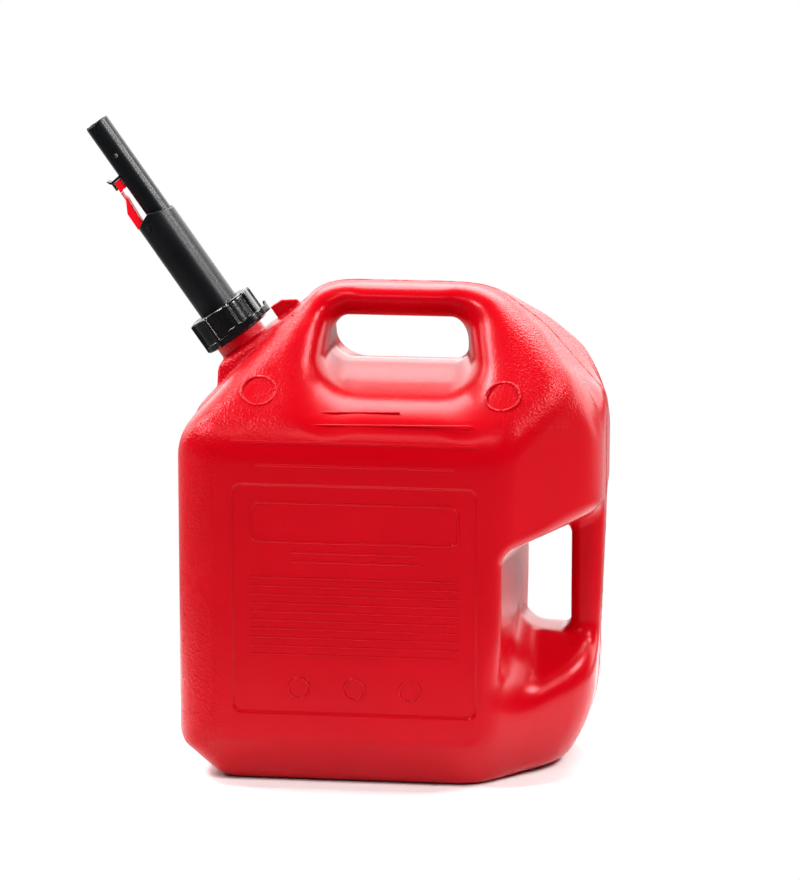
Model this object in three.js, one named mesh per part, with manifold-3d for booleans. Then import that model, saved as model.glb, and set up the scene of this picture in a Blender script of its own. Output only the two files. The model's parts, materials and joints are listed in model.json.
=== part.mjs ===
// A 20 litre fuel can: a blow-moulded tank with two grips, and a screw-on pouring spout whose
// inner tube is pushed in against a spring to open a valve, once its red lock is pressed aside.
// Millimetres, +Z up. The origin is the middle of the flat base, and +X points to the rear grip.

import * as THREE from 'three';
import Module from 'manifold-3d';
import { ConvexGeometry } from 'three/addons/geometries/ConvexGeometry.js';
import { mergeVertices } from 'three/addons/utils/BufferGeometryUtils.js';

const wasm = await Module();
wasm.setup();

// Tank, outside, by its two half outlines: across (width and height) and along (length and height).
// What belongs to the tank's upper half keeps its distance below the top.
const tankHeight = 370;
const wall = 3;
const halfWidth = 120;
const baseHalfWidth = 98;
const sideFold = 39;
const shoulderDrop = 99;
const shoulderHeight = tankHeight - shoulderDrop;
const ridgeHalfWidth = 15;
const crownRadius = 39;
const noseReach = 157.5;
const noseBaseReach = 127;
const noseFold = 34;
const noseShoulderDrop = 103;
const noseShoulder = tankHeight - noseShoulderDrop;
const noseRidgeReach = 57;
const tailReach = 159.3;
const tailLean = 5.3;
const tailKnee = 190;
const tailFold = 40;
const tailBaseReach = 130;
const tailShoulderDrop = 84;
const tailShoulder = tankHeight - tailShoulderDrop;
const tailBrowDrop = 31;
const tailBrow = tankHeight - tailBrowDrop;
const tailBrowReach = 112;
const tailRidgeReach = 70;
const taperStart = 88;
const taperHalfWidth = 47;
const taperSoften = 14;
const taperFold = 48;
const taperBaseInset = 20;
const noseCornerRadius = 32;
const edgeRadius = 14;
const tailRound = 52;
const hipRound = 44;

// Label panel, a shallow recess on each side.
const panelStart = -112;
const panelEnd = 72;
const panelBottom = 58;
const panelMargin = 36;
const panelTop = shoulderHeight - panelMargin;
const panelDepth = 1.4;
const panelCorner = 7;

// Top grip: the hole under the ridge and the scoop that opens outwards from it.
const gripStart = -52;
const gripEnd = 54;
const gripBarDepth = 25;
const gripCeiling = tankHeight - gripBarDepth;
const gripOpening = 37;
const gripFloor = gripCeiling - gripOpening;
const gripRadius = 14;
const gripBarHalfWidth = 10;
const scoopReach = 115;
const scoopNoseFlare = 6;
const scoopTailFlare = 24;
const scoopFloorDrop = 15;

// Rear grip: the hole, the pockets beside it and the post that closes it.
const postDepth = 25.5;
const postHalfWidth = 16.5;
const postRadius = 10;
const rearHoleStart = 95.5;
const pocketStart = 91;
const pocketReach = 130;
const pocketFloor = 101;
const pocketFloorAt = 115;
const pocketFloorRiseShare = 0.35;
const pocketFloorDropShare = 0.35;
const pocketCeiling = 168;
const pocketCeilingAt = 93;
const pocketCeilingRiseShare = 0.45;
const pocketCeilingFlareShare = 0.16;
const pocketRadius = 8;
const pocketCorner = 14;
const pocketOuterCorner = 5;
const postFoot = 84;
const postHead = 210;

// Neck, its boss and the stop fin. Heights are along the neck's own tilted axis from the boss.
const neckX = -120.5;
const neckDrop = 51.6;
const neckZ = tankHeight - neckDrop;
const neckTilt = 35.2;
const neckRadius = 19.8;
const neckBore = 16.8;
const neckSink = 6;
const boreDepth = 34;
const threadPitch = 8;
const threadTurns = 1.5;
const threadRise = 2.1;
const threadRoot = 3.6;
const threadCrest = 2.3;
const neckThreadFoot = 12.5;
const threadFadeTurns = 1 / 6;
const bossRadius = 6;
const bossNose = 137.5;
const bossTail = 74;
const bossTopHalfWidth = 27;
const bossFootHalfWidth = 36;
const bossDepth = 34;
const finThickness = 4;
const finTipRadius = 33.2;
const finTipHeight = 11.6;
const finTopRadius = 43.3;
const finTopEnd = 54;
const finEndHeight = 5;
const finRoot = 10;

// Screw collar.
const collarFoot = 8.6;
const collarHeight = 25.8;
const collarRadius = 25.2;
const collarRingRadius = 26.2;
const collarRingHeight = 5.2;
const collarRibRadius = 27.4;
const collarRibWidth = 3.4;
const collarRibs = 8;
const collarBevel = 1.4;
const collarPlate = 2.4;
const tabRadius = 32.6;
const tabThickness = 2.4;
const tabHeight = 5.6;
const tabFoot = 1.9;
const tabSweep = 74;

// Spout: outer tube, gasket and the bush that guides the inner tube.
const fitGap = 0.3;
const gasketThickness = 1.6;
const flangeThickness = 2.4;
const flangeRadius = 21.4;
const tubeRadius = 16;
const tubeWall = 1.4;
const mouthEar = 124.6;
const mouthDip = 7.2;
const mouthLow = mouthEar - mouthDip;
const seatRadius = 9;
const slotHalfWidth = 4.7;
const bushHeight = 21;
const bushCut = 10;
const bushWeb = 2;
const nubRadius = 1.7;
const nubProud = 0.2;
const nubDrop = 3.6;
const nubHeight = mouthLow - nubDrop;
const nubAngle = 113.6;

// Inner tube, its hook and vent, and the valve that it carries.
const nozzleRadius = 9.5;
const nozzleWall = 1.6;
const nozzleOffset = 4.8;
const nozzleTravel = 20;
const tipNotchDepth = 1.2;
const stopThickness = 2.5;
const hookStand = 34;
const hookHeight = mouthLow + hookStand;
const tipStand = 52.1;
const nozzleTip = hookHeight + tipStand;
const hookWidth = 9;
const hookReach = 10.3;
const hookRise = 10.2;
const ventHoleDrop = 29.5;
const ventHoleRadius = 1.5;
const ventRadius = 2.3;
const ventBore = 1.4;
const stemRadius = 6;
const stemBore = 4.4;
const windowFoot = 36;
const windowHeight = 22;
const windowWidth = 5;
const plugRadius = 12.2;
const plugThickness = 5.2;
const plugSpigot = 8.6;
const stemSeatDepth = 5;
const sealRadius = 10.6;
const sealSection = 1.2;
const springRadius = 10;
const springWire = 1.4;
const springCurls = 11;

// Lock: how wide it is, and how far it stands out from the inner tube.
const lockWidth = 8;
const lockReach = 11.6;

// How far cutters pass the faces that they cut, and how close two corners count as one.
const overrun = 5;
const weld = 1e-4;

// Steps round a circle, from large turned bodies to small holes, and round a rounding ball.
const roundSteps = 40;
const fineSteps = 24;
const smallSteps = 12;
const ballSteps = 16;
const ballRings = 10;
const arcSteps = 4;
const tabSteps = 8;
const wireSides = 5;
const curlSteps = 8;
const parallel = 1e-6;
const degree = Math.PI / 180;

// Turns a closed geometry into a solid that can be joined and cut.
function solid(geometry) {
  geometry.deleteAttribute('normal');
  geometry.deleteAttribute('uv');
  const merged = mergeVertices(geometry, weld);
  const index = merged.index.array;
  const kept = [];
  for (let i = 0; i < index.length; i += 3) {
    const [a, b, c] = index.subarray(i, i + 3);
    if (a !== b && b !== c && c !== a) kept.push(a, b, c);
  }
  const vertProperties = merged.attributes.position.array;
  return new wasm.Manifold(new wasm.Mesh({ numProp: 3, vertProperties, triVerts: new Uint32Array(kept) }));
}

function geometryOf(body) {
  const { vertProperties, triVerts } = body.getMesh();
  const geometry = new THREE.BufferGeometry();
  geometry.setAttribute('position', new THREE.BufferAttribute(vertProperties, 3));
  geometry.setIndex(new THREE.BufferAttribute(triVerts, 1));
  geometry.computeVertexNormals();
  return geometry;
}

function joined(bodies) {
  return bodies.reduce((sum, body) => sum.add(body));
}

function cutBy(body, cutters) {
  return cutters.reduce((rest, cutter) => rest.subtract(cutter), body);
}

// A body turned about Z from a closed outline of [radius, height] points, anticlockwise.
function turned(outline, steps = roundSteps) {
  const points = [...outline, outline[0]].map(([r, z]) => new THREE.Vector2(r, z));
  const geometry = new THREE.LatheGeometry(points, steps);
  geometry.rotateX(90 * degree);
  return solid(geometry);
}

function rod(radius, foot, head, steps = roundSteps) {
  return turned([[0, foot], [radius, foot], [radius, head], [0, head]], steps);
}

function pipe(inner, outer, foot, head, steps = roundSteps) {
  return turned([[inner, foot], [outer, foot], [outer, head], [inner, head]], steps);
}

function movedBy(body, x, y, z) {
  return body.translate([x, y, z]);
}

function block(x0, x1, y0, y1, z0, z1) {
  const geometry = new THREE.BoxGeometry(x1 - x0, y1 - y0, z1 - z0);
  geometry.translate((x0 + x1) / 2, (y0 + y1) / 2, (z0 + z1) / 2);
  return solid(geometry);
}

// A plate whose outline lies in the XZ plane, centred on Y.
function sidePlate(outline, thickness) {
  const shape = new THREE.Shape(outline.map(([x, z]) => new THREE.Vector2(x, z)));
  const geometry = new THREE.ExtrudeGeometry(shape, { depth: thickness, bevelEnabled: false });
  geometry.rotateX(90 * degree);
  geometry.translate(0, thickness / 2, 0);
  return solid(geometry);
}

// The hull of equal balls, which rounds every edge between their centres by the ball's radius.
function ballHull(centres, radius) {
  const ball = new THREE.SphereGeometry(radius, ballSteps, ballRings).rotateX(90 * degree);
  const place = ball.attributes.position;
  const points = [];
  for (const centre of centres) {
    for (let i = 0; i < place.count; i += 1) {
      points.push(new THREE.Vector3().fromBufferAttribute(place, i).add(centre));
    }
  }
  return solid(new ConvexGeometry(points));
}

function point(x, y, z) {
  return new THREE.Vector3(x, y, z);
}

// A flat face of the tank through three points, turned so that it looks outwards.
function face(a, b, c) {
  const plane = new THREE.Plane().setFromCoplanarPoints(a, b, c);
  const inside = point(0, 0, tankHeight / 2);
  return plane.distanceToPoint(inside) > 0 ? plane.negate() : plane;
}

// A face seen edge-on from the side, from one [x, z] point to the next.
function endFace([x0, z0], [x1, z1]) {
  return face(point(x0, 0, z0), point(x1, 0, z1), point(x0, halfWidth, z0));
}

// The two faces seen edge-on from the end, from one [y, z] point to the next.
function sideFaces([y0, z0], [y1, z1]) {
  return [1, -1].map((side) => face(
    point(0, side * y0, z0),
    point(0, side * y1, z1),
    point(noseReach, side * y0, z0),
  ));
}

// The two upright faces seen edge-on from above, from one [x, y] point to the next.
function cornerFaces([x0, y0], [x1, y1]) {
  return [1, -1].map((side) => face(
    point(x0, side * y0, 0),
    point(x1, side * y1, 0),
    point(x0, side * y0, tankHeight),
  ));
}

// The ridge is crowned: two faces touch its round between the top and the roof's slopes.
function crownFaces() {
  const tilt = Math.atan2(tankHeight - shoulderHeight, halfWidth - ridgeHalfWidth) / 2;
  const touch = [crownRadius * Math.sin(tilt), tankHeight - crownRadius * (1 - Math.cos(tilt))];
  const reach = crownRadius * Math.cos(tilt);
  const drop = crownRadius * Math.sin(tilt);
  return sideFaces(touch, [touch[0] + reach, touch[1] - drop]);
}

// The face that touches the round of the given radius between two other faces.
function roundFace(a, b, radius) {
  const normal = a.normal.clone().add(b.normal);
  const length = normal.length();
  const constant = (a.constant + b.constant + 2 * radius) / length - radius;
  return new THREE.Plane(normal.divideScalar(length), constant);
}

function tankFaces() {
  const base = face(point(0, 0, 0), point(noseReach, 0, 0), point(0, halfWidth, 0));
  const ridge = face(
    point(0, 0, tankHeight),
    point(noseReach, 0, tankHeight),
    point(0, halfWidth, tankHeight),
  );
  const tailWall = endFace([tailReach - tailLean, tailFold], [tailReach, tailKnee]);
  const tailTop = endFace([tailReach, tailKnee], [tailReach, tailShoulder]);
  const tailSlope = endFace([tailReach, tailShoulder], [tailBrowReach, tailBrow]);
  const tailCrest = endFace([tailBrowReach, tailBrow], [tailRidgeReach, tankHeight]);
  const along = [
    endFace([-noseBaseReach, 0], [-noseReach, noseFold]),
    endFace([-noseReach, noseFold], [-noseReach, noseShoulder]),
    endFace([-noseReach, noseShoulder], [-noseRidgeReach, tankHeight]),
    endFace([tailBaseReach, 0], [tailReach - tailLean, tailFold]),
    tailWall,
    tailTop,
    tailSlope,
    tailCrest,
  ];
  const roof = sideFaces([halfWidth, shoulderHeight], [ridgeHalfWidth, tankHeight]);
  const across = [
    ...sideFaces([baseHalfWidth, 0], [halfWidth, sideFold]),
    ...sideFaces([halfWidth, sideFold], [halfWidth, shoulderHeight]),
    ...roof,
    ...crownFaces(),
  ];
  const noseInset = noseCornerRadius * (1 - Math.SQRT1_2);
  const noseCorner = cornerFaces(
    [-noseReach + noseInset, halfWidth - noseInset],
    [-noseReach + 2 * noseInset, halfWidth],
  );
  const run = tailReach - taperStart;
  const fall = halfWidth - taperHalfWidth;
  const taper = cornerFaces([taperStart, halfWidth], [tailReach, taperHalfWidth]);
  const soften = cornerFaces(
    [taperStart - taperSoften, halfWidth],
    [taperStart + taperSoften, halfWidth - (taperSoften * fall) / run],
  );
  const inset = taperBaseInset / Math.hypot(run, fall);
  const taperBase = [1, -1].map((side) => face(
    point(taperStart, side * halfWidth, taperFold),
    point(tailReach, side * taperHalfWidth, taperFold),
    point(taperStart - fall * inset, side * (halfWidth - run * inset), 0),
  ));
  const rounds = [0, 1].flatMap((side) => [
    roundFace(taper[side], tailWall, tailRound),
    roundFace(taper[side], tailTop, tailRound),
    roundFace(taper[side], tailSlope, tailRound),
    roundFace(roof[side], tailSlope, hipRound),
    roundFace(roof[side], tailCrest, hipRound),
  ]);
  return [base, ridge, ...along, ...across, ...noseCorner, ...taper, ...soften, ...taperBase, ...rounds];
}

// Centres of the balls that touch the faces at each corner: every point where three of the faces,
// moved inwards by the ball's radius, meet without passing any other.
function cornerCentres(faces, radius) {
  const inner = faces.map((plane) => new THREE.Plane(plane.normal.clone(), plane.constant + radius));
  const centres = [];
  const matrix = new THREE.Matrix3();
  for (let i = 0; i < inner.length; i += 1) {
    for (let j = i + 1; j < inner.length; j += 1) {
      for (let k = j + 1; k < inner.length; k += 1) {
        const [a, b, c] = [inner[i], inner[j], inner[k]];
        matrix.set(...a.normal.toArray(), ...b.normal.toArray(), ...c.normal.toArray());
        if (Math.abs(matrix.determinant()) > parallel) {
          const centre = point(-a.constant, -b.constant, -c.constant).applyMatrix3(matrix.invert());
          const free = inner.every((plane) => plane.distanceToPoint(centre) < weld);
          const fresh = centres.every((other) => other.distanceTo(centre) > wall / 2);
          if (free && fresh) centres.push(centre);
        }
      }
    }
  }
  return centres;
}

// Ball centres of the straight hole of the top grip, and of its scoop on one side.
function gripCentres(side) {
  const [x0, x1] = [gripStart + gripRadius, gripEnd - gripRadius];
  const [z0, z1] = [gripFloor + gripRadius, gripCeiling - gripRadius];
  const near = side * gripBarHalfWidth;
  const far = side * scoopReach;
  const scoop = [];
  for (const x of [x0, x1]) {
    for (const z of [z0, z1]) scoop.push(point(x, near, z));
  }
  for (const x of [x0 - scoopNoseFlare, x1 + scoopTailFlare]) {
    scoop.push(point(x, far, z0 - scoopFloorDrop));
    scoop.push(point(x, far, z1 + scoopReach - gripBarHalfWidth));
  }
  return scoop;
}

function pocketFloorAtPoint(x, y) {
  const drop = (y - postHalfWidth) * pocketFloorDropShare;
  return pocketFloor + (x - pocketFloorAt) * pocketFloorRiseShare - drop;
}

function pocketCeilingAtPoint(x, y) {
  const rise = (x - pocketCeilingAt) * pocketCeilingRiseShare;
  return pocketCeiling + rise + y * pocketCeilingFlareShare;
}

// Ball centres of the pocket beside the post, on one side.
function pocketCentres(side) {
  const tail = tailReach + 2 * pocketRadius;
  const centres = [];
  for (const [x, y] of [
    [rearHoleStart + pocketRadius, postHalfWidth + pocketRadius],
    [tail, postHalfWidth + pocketRadius],
    [pocketStart + pocketRadius, pocketReach],
    [tail, pocketReach],
  ]) {
    const corner = y > pocketReach - pocketRadius ? pocketOuterCorner : pocketCorner;
    centres.push(point(x, side * y, pocketFloorAtPoint(x, y) + pocketRadius + corner));
    centres.push(point(x + corner, side * y, pocketFloorAtPoint(x + corner, y) + pocketRadius));
    centres.push(point(x, side * y, pocketCeilingAtPoint(x, y) - pocketRadius));
  }
  return centres;
}

// Ball centres of the hole between the tank and the post.
function rearHoleCentres() {
  const start = rearHoleStart + pocketRadius;
  const end = tailReach - postDepth - pocketRadius;
  const centres = [];
  for (const y of [-postHalfWidth - pocketRadius, postHalfWidth + pocketRadius]) {
    centres.push(point(start, y, pocketFloorAtPoint(start, postHalfWidth) + pocketRadius + pocketCorner));
    for (const x of [start + pocketCorner, end]) {
      centres.push(point(x, y, pocketFloorAtPoint(x, postHalfWidth) + pocketRadius));
    }
    for (const x of [start, end]) centres.push(point(x, y, pocketCeilingAtPoint(x, 0) - pocketRadius));
  }
  return centres;
}

// Ball centres of the post, which leans with the tail below its knee.
function postCentres() {
  const centres = [];
  const y = postHalfWidth - postRadius;
  for (const [z, lean] of [[postFoot, tailLean], [tailKnee, 0], [postHead, 0]]) {
    const tail = tailReach - lean - postRadius - 2 * fitGap;
    for (const x of [tailReach - postDepth + postRadius, tail]) {
      centres.push(point(x, y, z), point(x, -y, z));
    }
  }
  return centres;
}

// The boss under the neck: square to the neck's axis on top, upright at its nose.
const neckAxis = point(-Math.sin(neckTilt * degree), 0, Math.cos(neckTilt * degree));
const neckFoot = point(neckX, 0, neckZ);

function bossTopAt(x) {
  return neckZ + (x - neckX) * Math.tan(neckTilt * degree) - bossRadius / neckAxis.z;
}

function bossCentres() {
  const centres = [];
  for (const x of [-bossNose + bossRadius, -bossTail]) {
    for (const side of [1, -1]) {
      const top = bossTopAt(x);
      centres.push(point(x, side * (bossTopHalfWidth - bossRadius), top));
      centres.push(point(x, side * (bossFootHalfWidth - bossRadius), top - bossDepth));
    }
  }
  return centres;
}

// Moves a body from the neck's own axes to the tank's.
function onNeck(body) {
  return body.rotate([0, -neckTilt, 0]).translate(neckFoot.toArray());
}

// A bar of the given [radius, height] section wound on a right-handed helix. Over the fade's turns
// at each end the section sinks to the root radius.
function helix(section, rootRadius, turns, pitch, stepsPerTurn, fadeTurns) {
  const shape = new THREE.Shape(section.map(([r, z]) => new THREE.Vector2(r, z)));
  const steps = Math.round(turns * stepsPerTurn);
  const geometry = new THREE.ExtrudeGeometry(shape, { depth: 1, steps, bevelEnabled: false });
  const place = geometry.attributes.position;
  for (let i = 0; i < place.count; i += 1) {
    const [r, z, share] = [place.getX(i), place.getY(i), 1 - place.getZ(i)];
    const ends = Math.min(1, (share * turns) / fadeTurns, ((1 - share) * turns) / fadeTurns);
    const radius = rootRadius + (r - rootRadius) * ends;
    const angle = share * turns * 360 * degree;
    place.setXYZ(i, radius * Math.cos(angle), radius * Math.sin(angle), z + share * turns * pitch);
  }
  return geometry;
}

// Neck and collar threads share one pitch; the collar's runs in the middle of the neck's groove.
function threadSection(root, crest) {
  return [
    [root, -threadRoot / 2],
    [crest, -threadCrest / 2],
    [crest, threadCrest / 2],
    [root, threadRoot / 2],
  ];
}

const collarTop = collarFoot + collarHeight;
const flangeHead = collarTop - collarPlate - fitGap;
const flangeFoot = flangeHead - flangeThickness;
const gasketFoot = flangeFoot - fitGap - gasketThickness;
const neckHead = gasketFoot - fitGap;
const neckCrest = neckRadius + threadRise;
const collarBore = neckCrest + 2 * fitGap;
const collarCrest = collarBore - threadRise;

function thread(root, crest, foot) {
  const section = threadSection(root, crest);
  const bar = helix(section, root, threadTurns, threadPitch, fineSteps, threadFadeTurns);
  return movedBy(solid(bar), 0, 0, foot);
}

function neckThread() {
  return thread(neckRadius - fitGap, neckCrest, neckThreadFoot);
}

function collarThread() {
  return thread(collarBore + fitGap, collarCrest, neckThreadFoot - threadPitch / 2);
}

function stopFin() {
  const outline = [
    [finTipRadius, finTipHeight],
    [finTipRadius, 0],
    [finTipRadius, -finRoot],
    [finTopEnd, -finRoot],
    [finTopEnd, finEndHeight],
    [finTopRadius, finTipHeight],
  ];
  return sidePlate(outline, finThickness);
}

function tankBody() {
  const centres = cornerCentres(tankFaces(), edgeRadius);
  const cutters = [gripCentres(1), gripCentres(-1)];
  const pockets = [pocketCentres(1), pocketCentres(-1), rearHoleCentres()];
  let outside = ballHull(centres, edgeRadius);
  outside = outside.add(ballHull(bossCentres(), bossRadius));
  outside = cutBy(outside, cutters.map((list) => ballHull(list, gripRadius)));
  outside = cutBy(outside, pockets.map((list) => ballHull(list, pocketRadius)));
  outside = outside.add(ballHull(postCentres(), postRadius));
  outside = outside.add(onNeck(rod(neckRadius, -neckSink, neckHead)));
  outside = outside.add(onNeck(neckThread()));
  outside = outside.add(onNeck(stopFin()));
  let inside = ballHull(centres, edgeRadius - wall);
  inside = inside.add(ballHull(bossCentres(), bossRadius - wall));
  inside = cutBy(inside, cutters.map((list) => ballHull(list, gripRadius + wall)));
  inside = cutBy(inside, pockets.map((list) => ballHull(list, pocketRadius + wall)));
  inside = inside.add(ballHull(postCentres(), postRadius - wall));
  inside = inside.add(onNeck(rod(neckBore, -boreDepth, neckHead + overrun)));
  return outside.subtract(inside);
}

// A flat plate with round corners, lying in the XZ plane from y0 to y1.
function roundedPlate(x0, x1, z0, z1, radius, y0, y1) {
  const shape = new THREE.Shape();
  shape.moveTo(x0 + radius, z0);
  shape.lineTo(x1 - radius, z0);
  shape.absarc(x1 - radius, z0 + radius, radius, -90 * degree, 0);
  shape.absarc(x1 - radius, z1 - radius, radius, 0, 90 * degree);
  shape.absarc(x0 + radius, z1 - radius, radius, 90 * degree, 180 * degree);
  shape.absarc(x0 + radius, z0 + radius, radius, 180 * degree, 270 * degree);
  const settings = { depth: y1 - y0, curveSegments: arcSteps, bevelEnabled: false };
  const geometry = new THREE.ExtrudeGeometry(shape, settings);
  geometry.rotateX(90 * degree);
  geometry.translate(0, y1, 0);
  return solid(geometry);
}

function panelCutters() {
  const floor = halfWidth - panelDepth;
  const sizes = [panelStart, panelEnd, panelBottom, panelTop, panelCorner];
  return [
    roundedPlate(...sizes, floor, halfWidth + overrun),
    roundedPlate(...sizes, -halfWidth - overrun, -floor),
  ];
}

function collarRib(index) {
  const foot = collarFoot + collarRingHeight - fitGap;
  const head = collarTop - collarBevel;
  const side = collarRibWidth / 2;
  const bar = block(collarRadius - collarBevel, collarRibRadius, -side, side, foot, head);
  return bar.rotate([0, 0, ((index + 0.5) * 360) / collarRibs]);
}

// The collar's child-resistant tab: a strap that leaves the ring tangentially and ends in the
// middle plane, just short of the fin on the tank.
function collarTab() {
  const inner = [];
  const outer = [];
  for (let i = 0; i <= tabSteps; i += 1) {
    const share = i / tabSteps;
    const angle = -tabSweep * (1 - share) * degree;
    const way = new THREE.Vector2(Math.cos(angle), Math.sin(angle));
    const radius = collarRingRadius + (tabRadius - collarRingRadius) * Math.sin(share * 90 * degree);
    outer.push(way.clone().multiplyScalar(radius));
    inner.push(way.clone().multiplyScalar(radius - tabThickness));
  }
  const shape = new THREE.Shape([...outer, ...inner.reverse()]);
  const geometry = new THREE.ExtrudeGeometry(shape, { depth: tabHeight, bevelEnabled: false });
  geometry.translate(0, 0, collarFoot + tabFoot);
  return solid(geometry);
}

function collarBody() {
  const ringHead = collarFoot + collarRingHeight;
  const skin = turned([
    [collarBore, collarFoot],
    [collarRingRadius, collarFoot],
    [collarRingRadius, ringHead],
    [collarRadius, ringHead + collarBevel],
    [collarRadius, collarTop - collarBevel],
    [collarRadius - collarBevel, collarTop],
    [tubeRadius + fitGap, collarTop],
    [tubeRadius + fitGap, collarTop - collarPlate],
    [collarBore, collarTop - collarPlate],
  ]);
  const ribs = Array.from({ length: collarRibs }, (_, index) => collarRib(index));
  return joined([skin, ...ribs, collarTab(), collarThread()]);
}

function gasketBody() {
  return pipe(neckBore, neckRadius, gasketFoot, gasketFoot + gasketThickness);
}

// The outer tube's mouth: two ears at its sides and two lows, on the lock's side and opposite.
function mouthCutter() {
  const reach = tubeRadius + overrun;
  const slope = mouthDip / tubeRadius;
  const outline = [
    [-reach, mouthLow - slope * overrun],
    [0, mouthEar],
    [reach, mouthLow - slope * overrun],
    [reach, mouthEar + overrun],
    [-reach, mouthEar + overrun],
  ];
  return sidePlate(outline, 2 * reach);
}

// A small rod that points outwards from the spout's axis, level with the snap nubs.
function nub(radius, from, to, side) {
  const rodBody = rod(radius, from, to, smallSteps).rotate([0, 90, 0]);
  return movedBy(rodBody.rotate([0, 0, side * nubAngle]), 0, 0, nubHeight);
}

// How far the inner tube reaches past the spout's axis on the lock's side, and its stop flange,
// which lies against the bush at rest and leaves the spring room to close up.
const nozzleReach = nozzleRadius - nozzleOffset;
const bushHead = mouthLow - fitGap;
const bushFoot = bushHead - bushHeight;
const stopHead = bushFoot - fitGap;
const stopFoot = stopHead - stopThickness;

function outerTubeBody() {
  const bore = tubeRadius - tubeWall;
  const skin = turned([
    [seatRadius, flangeFoot],
    [flangeRadius, flangeFoot],
    [flangeRadius, flangeHead],
    [tubeRadius, flangeHead],
    [tubeRadius, mouthEar],
    [bore, mouthEar],
    [bore, flangeHead],
    [seatRadius, flangeHead],
  ]);
  const slotFoot = mouthLow - nozzleTravel - overrun / 2;
  return cutBy(skin, [
    mouthCutter(),
    block(-tubeRadius - overrun, -nozzleReach, -slotHalfWidth, slotHalfWidth, slotFoot, mouthEar),
    nub(nubRadius + fitGap, bore - overrun / 2, tubeRadius + overrun, 1),
    nub(nubRadius + fitGap, bore - overrun / 2, tubeRadius + overrun, -1),
  ]);
}

function guideBushBody() {
  const outer = tubeRadius - tubeWall - fitGap;
  const [low, high] = [bushFoot - overrun, bushHead + overrun];
  const slotEnd = -nozzleReach - fitGap - bushWeb;
  const bush = cutBy(rod(outer, bushFoot, bushHead), [
    movedBy(rod(nozzleRadius + fitGap, low, high), nozzleOffset, 0, 0),
    block(bushCut, tubeRadius + overrun, -tubeRadius, tubeRadius, low, high),
    block(-tubeRadius, slotEnd, -slotHalfWidth, slotHalfWidth, low, high),
  ]);
  const nubs = [1, -1].map((side) => nub(nubRadius, outer - nubRadius, tubeRadius + nubProud, side));
  return joined([bush, ...nubs]);
}

// The hook, in shares of its reach from the tube and of its rise from the foot of its leg.
const hookShelfShare = 0.64;
const hookOutlineShares = [
  [-0.1, 0.88],
  [0.38, 0.82],
  [0.74, 0.78],
  [0.92, 1],
  [1, 0.97],
  [0.86, 0.66],
  [0.76, 0.6],
  [0.76, 0],
  [0.62, 0],
  [0.62, hookShelfShare],
  [-0.1, hookShelfShare],
];

function nozzleBody() {
  const bore = nozzleRadius - nozzleWall;
  const hook = hookOutlineShares.map(([x, z]) => [-nozzleReach - x * hookReach, hookHeight + z * hookRise]);
  const barrel = joined([
    movedBy(rod(nozzleRadius, stopFoot, nozzleTip), nozzleOffset, 0, 0),
    rod(tubeRadius - tubeWall - fitGap, stopFoot, stopHead),
    sidePlate(hook.reverse(), hookWidth),
  ]);
  const [notchFoot, notchHead] = [nozzleTip - tipNotchDepth, nozzleTip + overrun];
  const notch = block(-nozzleRadius, nozzleOffset, -nozzleRadius - overrun, 0, notchFoot, notchHead);
  const ventHole = rod(ventHoleRadius, 0, nozzleRadius + overrun, smallSteps).rotate([90, 0, 0]);
  const ventPassage = rod(ventBore, stopFoot - overrun, stopHead + overrun, smallSteps);
  return cutBy(barrel, [
    movedBy(rod(bore, stopHead, nozzleTip + overrun), nozzleOffset, 0, 0),
    rod(stemBore, stopFoot - overrun, stopHead + overrun),
    movedBy(ventPassage, nozzleOffset, ventRadius + fitGap - bore, 0),
    movedBy(ventHole, nozzleOffset, 0, nozzleTip - ventHoleDrop),
    notch,
  ]);
}

function ventBody() {
  const bore = nozzleRadius - nozzleWall;
  const head = nozzleTip - ventHoleDrop + ventRadius + ventHoleRadius;
  const port = rod(ventHoleRadius, 0, overrun, smallSteps).rotate([90, 0, 0]);
  const tube = pipe(ventBore, ventRadius, stopHead + fitGap, head, smallSteps);
  const drilled = cutBy(tube, [movedBy(port, 0, 0, nozzleTip - ventHoleDrop)]);
  return movedBy(drilled, nozzleOffset, ventRadius + fitGap - bore, 0);
}

const plugHead = flangeFoot - fitGap;
const plugFoot = plugHead - 2 * sealSection - plugThickness;
const stemFoot = plugHead - stemSeatDepth;

function stemBody() {
  const [side, reach] = [windowWidth / 2, stemRadius + overrun];
  const window = block(-side, side, -reach, reach, windowFoot, windowFoot + windowHeight);
  return cutBy(pipe(stemBore, stemRadius, stemFoot, stopFoot - fitGap, fineSteps), [window]);
}

function plugBody() {
  const ledge = plugFoot + plugThickness - fitGap;
  return turned([
    [0, plugFoot],
    [plugRadius - sealSection, plugFoot],
    [plugRadius, plugFoot + sealSection],
    [plugRadius, ledge],
    [plugSpigot, ledge],
    [plugSpigot, plugHead],
    [stemRadius + fitGap, plugHead],
    [stemRadius + fitGap, stemFoot - fitGap],
    [0, stemFoot - fitGap],
  ]);
}

function sealBody() {
  const ring = new THREE.TorusGeometry(sealRadius, sealSection, 8, fineSteps);
  ring.translate(0, 0, plugHead - sealSection);
  return solid(ring);
}

// The least distance between points of the spring's wire that lie half a turn or more apart.
function leastGap(wire) {
  const place = wire.attributes.position;
  const points = Array.from({ length: place.count }, (_, i) => point(0, 0, 0).fromBufferAttribute(place, i));
  const pitch = (stopFoot - flangeHead) / springCurls;
  const turnOf = points.map((p) => p.z / pitch);
  let least = Infinity;
  points.forEach((a, i) => points.forEach((b, j) => {
    if (Math.abs(turnOf[i] - turnOf[j]) > 0.5) least = Math.min(least, a.distanceTo(b));
  }));
  return least;
}

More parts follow.
